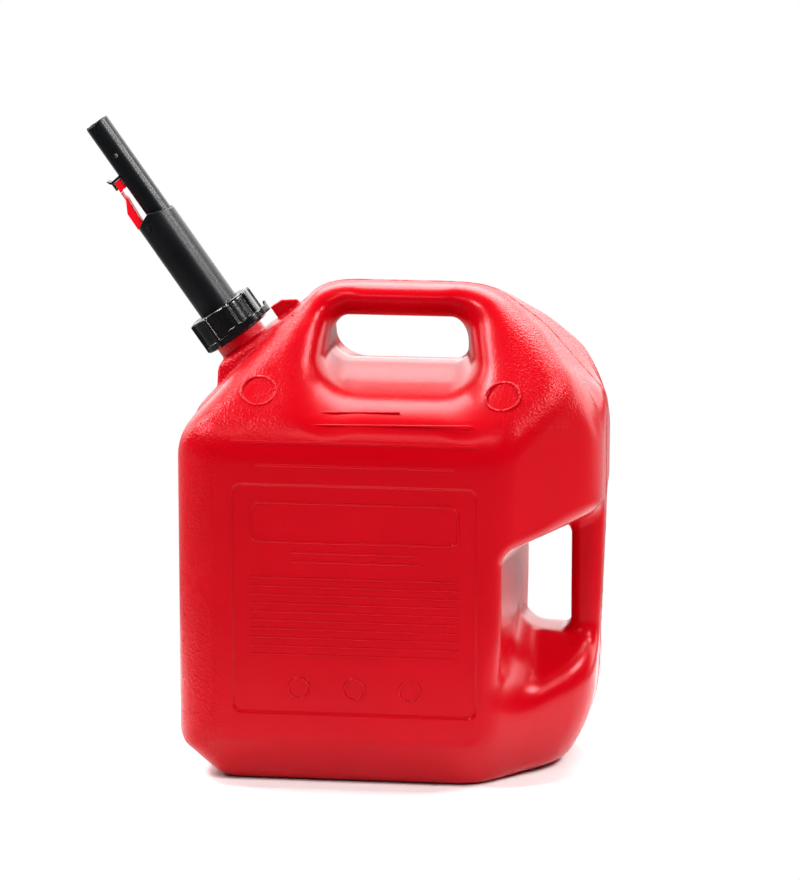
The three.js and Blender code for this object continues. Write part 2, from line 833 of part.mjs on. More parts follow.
// The return spring: an open coil between the seat plate and the inner tube's stop.
function springBody() {
  const foot = flangeHead + fitGap + springWire / 2;
  const head = stopFoot - fitGap - springWire / 2;
  const pitch = (head - foot) / springCurls;
  const section = Array.from({ length: wireSides }, (_, i) => {
    const angle = (i * 360 * degree) / wireSides;
    return [springRadius + (springWire / 2) * Math.cos(angle), (springWire / 2) * Math.sin(angle)];
  });
  const wire = helix(section, springRadius, springCurls, pitch, curlSteps, weld);
  console.log(`least gap between curls of return_spring: ${leastGap(wire).toFixed(2)} mm`);
  return movedBy(solid(wire), 0, 0, foot);
}

// The lock, in shares of its reach outwards from the inner tube and of its height, from the
// mouth of the outer tube to the hook. Root and lever part at the thin web that the lever bends on.
const lockRootShares = [
  [0.03, 0.8],
  [0.4, 0.8],
  [0.44, 0.776],
  [0.53, 0.776],
  [0.52, 0.82],
  [0.5, 0.84],
  [0.5, 1],
  [0.03, 1],
];
const lockLeverShares = [
  [0.5, 0],
  [1, 0],
  [0.97, 0.37],
  [0.52, 0.6],
  [0.53, 0.767],
  [0.44, 0.767],
  [0.46, 0.7],
  [0.35, 0.61],
];
const lockFoot = mouthLow + fitGap;
const lockHeight = hookHeight + hookShelfShare * hookRise - fitGap - lockFoot;

function lockPart(shares) {
  const outline = shares.map(([x, z]) => [-nozzleReach - x * lockReach, lockFoot + z * lockHeight]);
  return sidePlate(outline.reverse(), lockWidth);
}

const finishes = {
  tank: { color: 0xd3101c, roughness: 0.42, metalness: 0 },
  black: { color: 0x101112, roughness: 0.3, metalness: 0 },
  satin: { color: 0x151617, roughness: 0.5, metalness: 0 },
  lock: { color: 0xe51222, roughness: 0.4, metalness: 0 },
  rubber: { color: 0x1b1b1c, roughness: 0.8, metalness: 0 },
  white: { color: 0xd8d8d4, roughness: 0.5, metalness: 0 },
  steel: { color: 0xb4b6b8, roughness: 0.3, metalness: 1 },
};

const can = new THREE.Group();
const spout = new THREE.Group();
spout.position.copy(neckFoot);
spout.rotation.y = -neckTilt * degree;
can.add(spout);

function addPiece(parent, name, body, finish) {
  const mesh = new THREE.Mesh(geometryOf(body), new THREE.MeshStandardMaterial(finishes[finish]));
  mesh.name = name;
  parent.add(mesh);
}

addPiece(can, 'tank', cutBy(tankBody(), panelCutters()), 'tank');
addPiece(spout, 'collar', collarBody(), 'black');
addPiece(spout, 'neck_gasket', gasketBody(), 'rubber');
addPiece(spout, 'outer_tube', outerTubeBody(), 'satin');
addPiece(spout, 'guide_bush', guideBushBody(), 'satin');
addPiece(spout, 'nozzle_tube', nozzleBody(), 'satin');
addPiece(spout, 'vent_tube', ventBody(), 'white');
addPiece(spout, 'valve_stem', stemBody(), 'white');
addPiece(spout, 'valve_plug', plugBody(), 'white');
addPiece(spout, 'valve_seal', sealBody(), 'rubber');
addPiece(spout, 'return_spring', springBody(), 'steel');
addPiece(spout, 'lock_root', lockPart(lockRootShares), 'lock');
addPiece(spout, 'lock_lever', lockPart(lockLeverShares), 'lock');

export default can;
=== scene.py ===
"""A 20 litre fuel can with a pouring spout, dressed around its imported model.

The moulded pieces are written as fields: functions that are negative inside the plastic and zero on
its surface. Faces are folded together with rounded edges, and the surface is then meshed. Fields and
the sizes at the top are in millimetres; meshes are metres.
"""

import json
import math

import bpy
import numpy as np
from mathutils import Matrix, Vector


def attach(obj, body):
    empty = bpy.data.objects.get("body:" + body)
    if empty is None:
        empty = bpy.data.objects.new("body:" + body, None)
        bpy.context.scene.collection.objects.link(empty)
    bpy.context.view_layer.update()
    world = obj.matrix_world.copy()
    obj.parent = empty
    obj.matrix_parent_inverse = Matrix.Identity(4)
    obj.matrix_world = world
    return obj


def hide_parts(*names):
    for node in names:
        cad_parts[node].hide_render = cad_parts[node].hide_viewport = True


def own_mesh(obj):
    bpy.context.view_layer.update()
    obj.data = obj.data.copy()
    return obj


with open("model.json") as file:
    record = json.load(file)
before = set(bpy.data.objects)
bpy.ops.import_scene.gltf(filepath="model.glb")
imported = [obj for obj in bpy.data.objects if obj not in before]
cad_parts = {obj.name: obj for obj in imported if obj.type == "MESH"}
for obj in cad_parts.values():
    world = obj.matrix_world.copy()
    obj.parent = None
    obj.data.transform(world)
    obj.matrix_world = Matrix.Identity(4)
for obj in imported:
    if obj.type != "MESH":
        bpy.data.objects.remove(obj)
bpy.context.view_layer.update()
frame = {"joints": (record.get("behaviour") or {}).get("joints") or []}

MM = 0.001

# The photograph's view: where the camera stands round the can, and what it looks at, in metres.
CAMERA_AZIMUTH = 7.0
CAMERA_ELEVATION = 12.5
CAMERA_DISTANCE = 3.4615
CAMERA_TARGET = Vector((0.0, 0.0, 0.24506))
CAMERA_LENS = 184.09
CAMERA_SENSOR = 36.0

# Lamps: name, place, width and height in metres, and power in watts. Each points at one spot.
LAMP_TARGET = Vector((0.0, 0.0, 0.2))
LAMPS = (
    ("key", (-0.25, -1.5, 1.6), 0.9, 0.3, 5.5),
    ("left_high", (-1.05, -0.9, 1.75), 0.28, 0.28, 23.0),
    ("right_high", (1.35, -0.85, 1.55), 0.3, 0.35, 17.0),
    ("overhead", (0.0, 1.3, 2.0), 2.4, 1.2, 70.0),
    ("right_top", (1.45, 0.05, 1.75), 0.5, 0.5, 26.0),
    ("left_top", (-1.3, 0.15, 1.75), 0.5, 0.5, 26.0),
    ("right_back", (1.35, 0.95, 0.6), 0.4, 1.5, 3.5),
    ("left_back", (-1.5, 0.55, 0.95), 0.5, 0.8, 8.0),
)

# The room's brightness: in the dark parts of a gloss, behind the can, and on plain surfaces.
ROOM_DARK = 0.02
ROOM_BACK = 2.5
ROOM_LIGHT = 0.05

# Floor: how far round the can its shadow is kept, half the floor's size, and how far it lies below.
SHADOW_LENGTH = 0.15
SHADOW_WIDTH = 0.115
FLOOR_HALF = 12.0
FLOOR_DROP = 0.0002
FLOOR_TONE = 0.92

# Tank, outside. Pairs are [length, height] from the side and [half width, height] from the end.
HALF_WIDTH = 120.0
BASE_EDGE = (98.0, 0.0)
SIDE_FOLD = (120.0, 39.0)
SIDE_SHOULDER = (120.0, 271.0)
RIDGE_EDGE = (15.0, 370.0)
TANK_HEIGHT = 370.0
NOSE_REACH = 157.5
NOSE_BASE = (-127.0, 0.0)
NOSE_FOLD = (-157.5, 34.0)
NOSE_SHOULDER = (-157.5, 267.0)
NOSE_RIDGE = (-57.0, 370.0)
TAIL_REACH = 159.3
TAIL_BASE = (130.0, 0.0)
TAIL_FOLD = (154.0, 40.0)
TAIL_KNEE = (159.3, 190.0)
TAIL_SHOULDER = (159.3, 286.0)
TAIL_BROW = (112.0, 339.0)
TAIL_RIDGE = (70.0, 370.0)
TAPER_START = 88.0
TAPER_HALF = 47.0
TAPER_FOLD = 48.0
TAPER_INSET = 20.0
TAPER_LEAN_SHARE = 0.065
TAPER_LEVEL = 150.0
WALL = 3.0

# Radii of the tank's edges.
NOSE_CORNER = 32.0
TAPER_ROUND = 30.0
TAIL_ROUND = 52.0
HIP_ROUND = 44.0
BROW_ROUND = 18.0
SHOULDER_ROUND = 50.0
RIDGE_ROUND = 42.0
FOOT_ROUND = 10.0
FOLD_ROUND = 22.0
HEEL_ROUND = 90.0
HEEL_FOOT = 26.0
# Where the edges grow softer: out from the middle, and towards the tail.
OUTWARD = (8, 36)
TAILWARD = (60, 120)
TAPER_FOOT_SOFT = 12
TAIL_FOOT_SOFT = 14

# How many degrees the tank's faces turn at each edge.
TAPER_TURN = 46
KNEE_TURN = 2
NOSE_TURN = 45
BROW_TURN = 55
HIP_TURN = 16
ROOF_TURN = 48
RIDGE_TURN = 43
NOSE_FOOT_TURN = 65
HEEL_TURN = 32
FOOT_TURN = 58

# Recessed panel on each side.
PANEL_START = -112.0
PANEL_END = 72.0
PANEL_BOTTOM = 58.0
PANEL_TOP = 235.0
PANEL_DEPTH = 1.4
PANEL_CORNER = 7.0

# Raised marks: how far below the skin they start, and the lines and rings in metres.
SKIN_SINK = 0.1
PANEL_SINK = PANEL_DEPTH + SKIN_SINK
PANEL_MIDDLE = (PANEL_START + PANEL_END) / 2
RIB_LINE = 0.0011
RIB_FINE = 0.0008
RIB_WIDE = 0.0013
RIB_HEIGHT = 0.0008
# Single ribs on the shoulder: height up the tank, length and line.
SHOULDER_RIBS = (
    (287.0, 0.064, 0.0009), (279.5, 0.176, RIB_FINE), (267.0, 0.186, RIB_WIDE), (250.0, 0.15, RIB_WIDE),
)
PARTING_LINE = 0.0004
NECK_CLEAR = 56
NECK_CLEAR_DEPTH = 20
RING_SIZE = 0.016
RING_PITCH = 42.0
ROUND_SIZE = 0.026

# Top grip and the scoop that opens from it.
GRIP_START = -52.0
GRIP_END = 54.0
GRIP_FLOOR = 308.0
GRIP_CEILING = 345.0
GRIP_BAR = 10.0
GRIP_CORNER = 14.0
GRIP_RIM = 15.0
GRIP_BAR_RIM = 13.0
GRIP_END_RIM = 25.0
GRIP_BAR_LEVEL = (318, 336)
GRIP_END_INSIDE = 26
GRIP_END_OUTSIDE = 8
SCOOP_NOSE_SHARE = 0.06
SCOOP_TAIL_SHARE = 0.23
SCOOP_FLOOR_SHARE = 0.2
SCOOP_CORNER_SHARE = 0.16
SCOOP_SOFT = 5

# Rear grip: post, hole and pockets.
POST_HALF = 16.5
POST_FRONT = 133.8
POST_CORNER = 9.0
HOLE_START = 93.8
POCKET_LEAN_SHARE = 0.043
POCKET_FLOOR = 102.5
POCKET_FLOOR_AT = 112.0
POCKET_FLOOR_SHARE = 0.06
POCKET_DROP_SHARE = 0.5
POCKET_CEILING = 168.0
POCKET_CEILING_AT = 93.0
POCKET_RISE_SHARE = 0.45
POCKET_FLARE_SHARE = 0.16
POCKET_CORNER = 26.0
POCKET_SOFT = 3
HOLE_CORNER = 19.0
CORNER_BLEND = (20, 70)
CEILING_CORNER = 9.0
POCKET_LIP = 16.0
POCKET_RIM = 7.0
POST_RIM = 13.0
POST_RIM_BLEND = (115, 145)
LIP_BLEND = (80, 125)
# These turn the leaning faces' heights into about their distances.
FLOOR_SCALE = 0.89
CEILING_SCALE = 0.9

# Boss, neck and stop fin, along the neck's own axis from the boss.
BOSS_NOSE = 137.5
BOSS_TAIL = 74.0
BOSS_TOP_HALF = 27.0
BOSS_FOOT_HALF = 36.0
BOSS_DEPTH = 28.0
BOSS_ROUND = 5.0
NECK_RADIUS = 19.8
NECK_BORE = 16.8
NECK_HEAD = 27.1
NECK_SINK = 6.0
BORE_DEPTH = 34.0
FIN_HALF = 2.0
FIN_OUTLINE = ((33.2, -10.0), (54.0, -10.0), (54.0, 5.0), (43.3, 11.6), (33.2, 11.6))
THREAD_PITCH = 8.0
THREAD_TURNS = 1.5
THREAD_FOOT = 12.5
THREAD_CREST = 21.9
THREAD_HALF_ROOT = 1.8
THREAD_HALF_CREST = 1.1

# Screw collar.
COLLAR_FOOT = 8.6
COLLAR_HEAD = 34.4
COLLAR_RADIUS = 25.2
COLLAR_RING_RADIUS = 26.2
COLLAR_RING_HEAD = 13.8
COLLAR_RIB_RADIUS = 27.4
COLLAR_RIB_HALF = 1.7
COLLAR_RIBS = 8
COLLAR_BORE = 22.5
COLLAR_CREST = 20.4
COLLAR_PLATE = 2.4
COLLAR_HOLE = 16.3
TAB_RADIUS = 32.6
TAB_THICKNESS = 2.4
TAB_FOOT = 10.5
TAB_HEIGHT = 5.6
TAB_SWEEP = 74.0
TAB_POINT = 2.6

# Spout: outer tube, bush and gasket.
FIT_GAP = 0.3
FLANGE_FOOT = 29.3
FLANGE_HEAD = 31.7
FLANGE_RADIUS = 21.4
SEAT_RADIUS = 9.0
TUBE_RADIUS = 16.0
TUBE_BORE = 14.6
MOUTH_LOW = 117.4
MOUTH_EAR = 124.6
SLOT_HALF = 4.7
SLOT_FOOT = 94.9
BUSH_FOOT = 96.1
BUSH_HEAD = 117.1
BUSH_CUT = 10.0
BUSH_SLOT = 7.0
NUB_RADIUS = 1.7
NUB_HEIGHT = 113.8
NUB_ANGLE = 113.6
NUB_PROUD = 0.4
GASKET_FOOT = 27.4
GASKET_HEAD = 29.0

# Pouring tube, its hook, the vent tube and the valve.
NOZZLE_RADIUS = 9.5
NOZZLE_BORE = 7.9
NOZZLE_OFFSET = 4.8
NOZZLE_TIP = 203.5
NOTCH_DEPTH = 1.2
STOP_FOOT = 93.3
STOP_HEAD = 95.8
STOP_RADIUS = 14.3
STEM_BORE = 4.4
STEM_RADIUS = 6.0
STEM_FOOT = 24.0
WINDOW_FOOT = 36.0
WINDOW_HEAD = 58.0
WINDOW_HALF = 2.5
VENT_HOLE = 174.0
VENT_HOLE_RADIUS = 1.5
VENT_RADIUS = 2.3
VENT_BORE = 1.4
VENT_SIDE = -5.3
VENT_HEAD = 177.8
PLUG_FOOT = 21.4
PLUG_LEDGE = 26.3
PLUG_HEAD = 29.0
PLUG_RADIUS = 12.2
PLUG_SPIGOT = 8.6
SEAL_RADIUS = 10.6
SEAL_SECTION = 1.2
SPRING_RADIUS = 10.0
SPRING_WIRE = 1.4
SPRING_CURLS = 11
SPRING_SIDES = 12
SPRING_STEPS = 32
HOOK_HALF = 4.5
HOOK_FOOT = 151.4
HOOK_REACH = 10.3
HOOK_RISE = 10.2
HOOK_SHARES = (
    (-0.1, 0.64), (0.62, 0.64), (0.62, 0.0), (0.76, 0.0), (0.76, 0.6), (0.86, 0.66),
    (1.0, 0.97), (0.92, 1.0), (0.74, 0.78), (0.38, 0.82), (-0.1, 0.88),
)

# Lock, in shares of its reach from the pouring tube and of its height above the tube's mouth.
LOCK_HALF = 4.0
LOCK_REACH = 11.6
LOCK_FOOT = 117.7
LOCK_HEIGHT = 39.9
LOCK_ROOT_SHARES = (
    (0.03, 0.8), (0.4, 0.8), (0.44, 0.776), (0.53, 0.776),
    (0.52, 0.82), (0.5, 0.84), (0.5, 1.0), (0.03, 1.0),
)
LOCK_LEVER_SHARES = (
    (0.5, 0.0), (1.0, 0.0), (0.97, 0.37), (0.52, 0.6),
    (0.53, 0.767), (0.44, 0.767), (0.46, 0.7), (0.35, 0.61),
)

# Mesh steps: how far apart the points of each surface lie, and how many triangles the tank keeps.
TANK_STEP = 1.6
TANK_TRIANGLES = 190000
TUBE_STEP = 0.6
SMALL_STEP = 0.45
BLOCK = 5
BLOCK_REACH = 1.5
SLOPE_STEP = 0.2
MARGIN = 6

JOINTS = {joint["name"]: joint for joint in frame["joints"]}
NECK_FOOT = Vector(JOINTS["collar_turn"]["pos_m"])
NECK_AXIS = Vector(JOINTS["spout_lift"]["axis"])
NECK_TILT = math.atan2(-NECK_AXIS.x, NECK_AXIS.z)
SPOUT_PLACE = Matrix.Translation(NECK_FOOT) @ Matrix.Rotation(-NECK_TILT, 4, "Y")


# Fields

def fold(a, b, radius, turn=90):
    """What lies in both fields, with the edge where their faces turn so many degrees rounded."""
    near = math.cos(math.radians(turn))
    u, v = a + radius, b + radius
    bent = np.sqrt(np.maximum(u * u + v * v - 2 * near * u * v, 0) / (1 - near * near)) - radius
    return np.where((u > near * v) & (v > near * u), bent, np.maximum(a, b))


def soften(a, b, reach):
    """What lies in both fields, with a soft edge that starts where they differ by reach."""
    near = np.maximum(reach - np.abs(a - b), 0)
    return np.maximum(a, b) + near * near / (4 * reach)


def join(a, b, radius):
    """What lies in either field, with a fillet in the corner between them."""
    return -fold(-a, -b, radius)


def cut(a, b, radius):
    """What lies in the first field and not in the second, with a rounded rim."""
    return fold(a, -b, radius)


def smooth(value, low, high):
    """0 below low, 1 above high, and a smooth step between them."""
    t = np.clip((value - low) / (high - low), 0, 1)
    return t * t * (3 - 2 * t)


def mix(a, b, share):
    return a + (b - a) * share


def ramp(value, soft):
    """Value where it is positive and zero elsewhere, with a soft knee."""
    return (value + np.hypot(value, soft) - soft) / 2


def edge(u, v, start, end):
    """Distance outside the line from start to end, with the inside on its left."""
    du, dv = end[0] - start[0], end[1] - start[1]
    return ((u - start[0]) * dv - (v - start[1]) * du) / math.hypot(du, dv)


def outline(u, v, points):
    """Signed distance to a closed outline of straight sides."""
    nearest = np.full(np.shape(u), np.inf)
    inside = np.ones(np.shape(u))
    for i, (u0, v0) in enumerate(points):
        u1, v1 = points[i - 1]
        du, dv = u1 - u0, v1 - v0
        share = np.clip(((u - u0) * du + (v - v0) * dv) / (du * du + dv * dv), 0, 1)
        nearest = np.minimum(nearest, np.hypot(u - u0 - du * share, v - v0 - dv * share))
        above, below = v >= v0, v < v1
        left = du * (v - v0) > dv * (u - u0)
        crossing = (above & below & left) | (~above & ~below & ~left)
        inside = np.where(crossing, -inside, inside)
    return nearest * inside


def plate(x, y, z, points, half, radius):
    """A plate with its outline in the XZ plane and rounded edges."""
    return fold(outline(x, z, points), np.abs(y) - half, radius)


def ring(radius_here, z, inner, outer, foot, head, radius):
    """A tube about the Z axis with rounded ends."""
    wall = fold(radius_here - outer, inner - radius_here, radius) if inner else radius_here - outer
    return fold(fold(wall, z - head, radius), foot - z, radius)


def neck_axes(x, z):
    """Distance out from the neck's axis towards the tail, and up along it."""
    dx, dz = x - NECK_FOOT.x / MM, z - NECK_FOOT.z / MM
    return dx * NECK_AXIS.z - dz * NECK_AXIS.x, dx * NECK_AXIS.x + dz * NECK_AXIS.z


# Tank

def tank_block(x, across, z):
    """The tank's folded block, without grips, boss or neck."""
    leaning = x - TAPER_LEAN_SHARE * (z - TAPER_LEVEL)
    taper = edge(leaning, across, (TAIL_REACH, TAPER_HALF), (TAPER_START, HALF_WIDTH))
    slope = edge(x, z, TAIL_SHOULDER, TAIL_BROW)
    nose_slope = edge(x, z, NOSE_RIDGE, NOSE_SHOULDER)
    roof = edge(across, z, SIDE_SHOULDER, RIDGE_EDGE)
    body = fold(across - HALF_WIDTH, -NOSE_REACH - x, NOSE_CORNER)
    body = fold(body, taper, TAPER_ROUND, TAPER_TURN)
    tail = fold(edge(x, z, TAIL_FOLD, TAIL_KNEE), x - TAIL_REACH, TAPER_ROUND, KNEE_TURN)
    body = fold(body, tail, TAIL_ROUND, TAPER_TURN)
    outward = smooth(across, *OUTWARD)
    body = fold(body, slope, mix(BROW_ROUND, TAIL_ROUND, outward), BROW_TURN)
    body = fold(body, edge(x, z, TAIL_BROW, TAIL_RIDGE), HIP_ROUND, HIP_TURN)
    body = fold(body, nose_slope, mix(BROW_ROUND, HIP_ROUND, outward), NOSE_TURN)
    body = fold(body, roof, SHOULDER_ROUND, ROOF_TURN)
    body = fold(body, z - TANK_HEIGHT, RIDGE_ROUND, RIDGE_TURN)
    side_foot = edge(across, z, BASE_EDGE, SIDE_FOLD)
    foot = fold(side_foot, edge(x, z, NOSE_FOLD, NOSE_BASE), FOLD_ROUND, NOSE_FOOT_TURN)
    tailward = smooth(x, *TAILWARD)
    foot = soften(foot, edge(taper, z, (-TAPER_INSET, 0), (0, TAPER_FOLD)), TAPER_FOOT_SOFT)
    foot = soften(foot, edge(x, z, TAIL_BASE, TAIL_FOLD), TAIL_FOOT_SOFT)
    body = fold(body, foot, mix(FOLD_ROUND, HEEL_ROUND, tailward), HEEL_TURN)
    return fold(body, -z, mix(FOOT_ROUND, HEEL_FOOT, tailward), FOOT_TURN)


def top_grip(x, across, z):
    """The hole under the ridge, and the scoop that widens from it to the side."""
    out = ramp(across - GRIP_BAR, SCOOP_SOFT)
    corner = GRIP_CORNER + SCOOP_CORNER_SHARE * out
    floor = GRIP_FLOOR - SCOOP_FLOOR_SHARE * out - z
    ceiling = (z - GRIP_CEILING - out) * math.sqrt(0.5)
    start = GRIP_START - SCOOP_NOSE_SHARE * out - x
    end = x - GRIP_END - SCOOP_TAIL_SHARE * out
    upright = fold(floor, ceiling, corner)
    return fold(upright, np.maximum(start, end), corner)


def top_grip_rim(x, across, z):
    """How soft the rim is: most at the scoop's ends, and least along its floor."""
    middle = (GRIP_START + GRIP_END) / 2 + 0.5 * (SCOOP_TAIL_SHARE - SCOOP_NOSE_SHARE) * across
    half = (GRIP_END - GRIP_START) / 2
    level = mix(GRIP_RIM, GRIP_BAR_RIM, smooth(z, *GRIP_BAR_LEVEL))
    ends = smooth(np.abs(x - middle), half - GRIP_END_INSIDE, half + GRIP_END_OUTSIDE)
    return mix(level, GRIP_END_RIM, ends)


def rear_grip(x, across, z):
    """The pockets beside the post and the hole in front of it."""
    beside = ramp(across - POST_HALF, POCKET_SOFT)
    fall = (x - POCKET_FLOOR_AT) * POCKET_FLOOR_SHARE
    rise = (x - POCKET_CEILING_AT) * POCKET_RISE_SHARE
    floor = POCKET_FLOOR - fall - beside * POCKET_DROP_SHARE - z
    ceiling = z - POCKET_CEILING - rise - across * POCKET_FLARE_SHARE
    front = HOLE_START - POCKET_LEAN_SHARE * beside - x
    corner = mix(HOLE_CORNER, POCKET_CORNER, smooth(across, *CORNER_BLEND))
    room = fold(front, floor * FLOOR_SCALE, corner)
    room = fold(room, ceiling * CEILING_SCALE, CEILING_CORNER)
    post = fold(across - POST_HALF, POST_FRONT - x, POST_CORNER)
    return fold(room, -post, POST_CORNER)


def boss(x, across, up):
    """The raised seat that the neck stands on."""
    top = fold(up, -BOSS_NOSE - x, BOSS_ROUND)
    flanks = edge(across, up, (BOSS_FOOT_HALF, -BOSS_DEPTH), (BOSS_TOP_HALF, 0))
    top = fold(fold(top, flanks, BOSS_ROUND), x + BOSS_TAIL, BOSS_ROUND)
    return np.maximum(top, -BOSS_DEPTH - up)


def closed_tank(x, y, z):
    """The tank's outer skin without neck, fin or panels."""
    across = np.abs(y)
    _, up = neck_axes(x, z)
    body = tank_block(x, across, z)
    body = join(body, boss(x, across, up), 3.0)
    body = soften(body, -top_grip(x, across, z), top_grip_rim(x, across, z))
    rim = mix(POCKET_RIM, POST_RIM, smooth(x, *POST_RIM_BLEND))
    return soften(body, -rear_grip(x, across, z), mix(POCKET_LIP, rim, smooth(z, *LIP_BLEND)))


def panel(x, across, z):
    """The shallow recess for a label, with rounded corners."""
    dx = np.abs(x - PANEL_MIDDLE) - (PANEL_END - PANEL_START) / 2 + PANEL_CORNER
    dz = np.abs(z - (PANEL_TOP + PANEL_BOTTOM) / 2) - (PANEL_TOP - PANEL_BOTTOM) / 2 + PANEL_CORNER
    border = np.hypot(np.maximum(dx, 0), np.maximum(dz, 0)) + np.minimum(np.maximum(dx, dz), 0) - PANEL_CORNER
    return fold(border, HALF_WIDTH - PANEL_DEPTH - across, 0.9)


def tank_field(x, y, z):
    """The tank's wall, with its neck, fin and panels, open at the neck."""
    out, up = neck_axes(x, z)
    radial = np.hypot(out, y)
    panelled = cut(closed_tank(x, y, z), panel(x, np.abs(y), z), 0.9)
    neck = np.maximum(fold(radial - NECK_RADIUS, up - NECK_HEAD, 0.8), -NECK_SINK - up)
    skin = join(panelled, neck, 1.6)
    skin = join(skin, plate(out, y, up, FIN_OUTLINE, FIN_HALF, 1.0), 1.8)
    hollow = join(panelled + WALL, np.maximum(radial - NECK_BORE, -BORE_DEPTH - up), 2.0)
    return cut(skin, hollow, 0.8)


def thread(x, y, z, root, crest, foot):
    """A ridge on a right-handed helix, which sinks to its root at both ends."""
    turn = np.arctan2(y, x) / (2 * math.pi)
    turn = turn + np.round((z - foot) / THREAD_PITCH - turn)
    ends = np.clip(np.minimum(turn, THREAD_TURNS - turn) * 6, -1, 1)
    radial = np.hypot(x, y)
    height = (radial - root) / (crest - root)
    half = mix(THREAD_HALF_ROOT, THREAD_HALF_CREST, np.clip(height, 0, 1))
    ridge = np.abs(z - foot - turn * THREAD_PITCH) - half
    way = math.copysign(1, crest - root)
    top = (radial - mix(root, crest, ends)) * way
    return fold(fold(ridge, top, 0.4), (root - radial) * way, 0.1)


def neck_thread_field(x, y, z):
    return thread(x, y, z, NECK_RADIUS - 0.5, THREAD_CREST, THREAD_FOOT)


# Spout

def collar_field(x, y, z):
    radial = np.hypot(x, y)
    angle = np.arctan2(y, x)
    pitch = 2 * math.pi / COLLAR_RIBS
    turn = angle - (np.round(angle / pitch - 0.5) + 0.5) * pitch
    barrel = fold(fold(radial - COLLAR_RADIUS, z - COLLAR_HEAD, 2.2), COLLAR_FOOT - z, 0.5)
    foot = fold(fold(radial - COLLAR_RING_RADIUS, z - COLLAR_RING_HEAD, 0.7), COLLAR_FOOT - z, 0.5)
    rib_side = np.abs(radial * np.sin(turn)) - COLLAR_RIB_HALF
    rib = fold(radial * np.cos(turn) - COLLAR_RIB_RADIUS, rib_side, 1.4)
    rib = fold(fold(rib, z - COLLAR_HEAD + 0.6, 1.6), COLLAR_FOOT + 1 - z, 0.5)
    body = join(join(barrel, foot, 0.8), rib, 1.6)
    share = np.clip(np.degrees(angle) / TAB_SWEEP + 1, 0, 1)
    strap = mix(COLLAR_RING_RADIUS, TAB_RADIUS, np.sin(share * math.pi / 2))
    head = TAB_FOOT + TAB_HEIGHT + TAB_POINT * smooth(share, 0.9, 1.0)
    tab = fold(radial - strap, strap - TAB_THICKNESS - radial, 0.5)
    tab = fold(fold(tab, TAB_FOOT - z, 0.5), z - head, 0.5)
    tab = fold(fold(tab, y, 0.4), -x, 0.4)
    body = join(body, tab, 0.6)
    bore = np.maximum(radial - COLLAR_BORE, z - COLLAR_HEAD + COLLAR_PLATE)
    body = cut(body, join(bore, radial - COLLAR_HOLE, 0.1), 0.4)
    foot = THREAD_FOOT - THREAD_PITCH / 2
    return join(body, thread(x, y, z, COLLAR_BORE + FIT_GAP, COLLAR_CREST, foot), 0.2)


def nubs(x, across, z, radius, start, end):
    """Two small round pins that point outwards at the snap nubs' places."""
    angle = math.radians(NUB_ANGLE)
    along = x * math.cos(angle) + across * math.sin(angle)
    beside = across * math.cos(angle) - x * math.sin(angle)
    return fold(fold(np.hypot(beside, z - NUB_HEIGHT) - radius, along - end, 0.4), start - along, 0.1)


def sleeve_field(x, y, z):
    radial = np.hypot(x, y)
    tube = ring(radial, z, TUBE_BORE, TUBE_RADIUS, FLANGE_FOOT, MOUTH_EAR + 1, 0.3)
    flange = ring(radial, z, SEAT_RADIUS, FLANGE_RADIUS, FLANGE_FOOT, FLANGE_HEAD, 0.4)
    body = join(tube, flange, 0.3)
    lean = (MOUTH_EAR - MOUTH_LOW) / TUBE_RADIUS
    mouth = (z - MOUTH_EAR + lean * np.hypot(x, 1.5)) / math.hypot(1, lean)
    body = fold(body, mouth, 0.45)
    slot = fold(fold(np.abs(y) - SLOT_HALF, SLOT_FOOT - z, 1.5), x, 0.1)
    holes = nubs(x, np.abs(y), z, NUB_RADIUS + FIT_GAP, TUBE_BORE - 2, TUBE_RADIUS + 2)
    return cut(cut(body, slot, 0.4), holes, 0.25)


def bush_field(x, y, z):
    radial = np.hypot(x, y)
    body = ring(radial, z, 0, TUBE_BORE - FIT_GAP, BUSH_FOOT, BUSH_HEAD, 0.4)
    body = cut(body, np.hypot(x - NOZZLE_OFFSET, y) - NOZZLE_RADIUS - FIT_GAP, 0.4)
    body = cut(body, BUSH_CUT - x, 0.4)
    body = cut(body, fold(np.abs(y) - SLOT_HALF, x + BUSH_SLOT, 0.2), 0.4)
    return join(body, nubs(x, np.abs(y), z, NUB_RADIUS, TUBE_BORE - 2, TUBE_RADIUS + NUB_PROUD), 0.1)


def gasket_field(x, y, z):
    return ring(np.hypot(x, y), z, NECK_BORE, NECK_RADIUS, GASKET_FOOT, GASKET_HEAD, 0.35)


def nozzle_shares(shares, reach, foot, height):
    """Points of an outline on the lock's side of the pouring tube."""
    near = NOZZLE_OFFSET - NOZZLE_RADIUS
    return [(near - u * reach, foot + v * height) for u, v in shares]


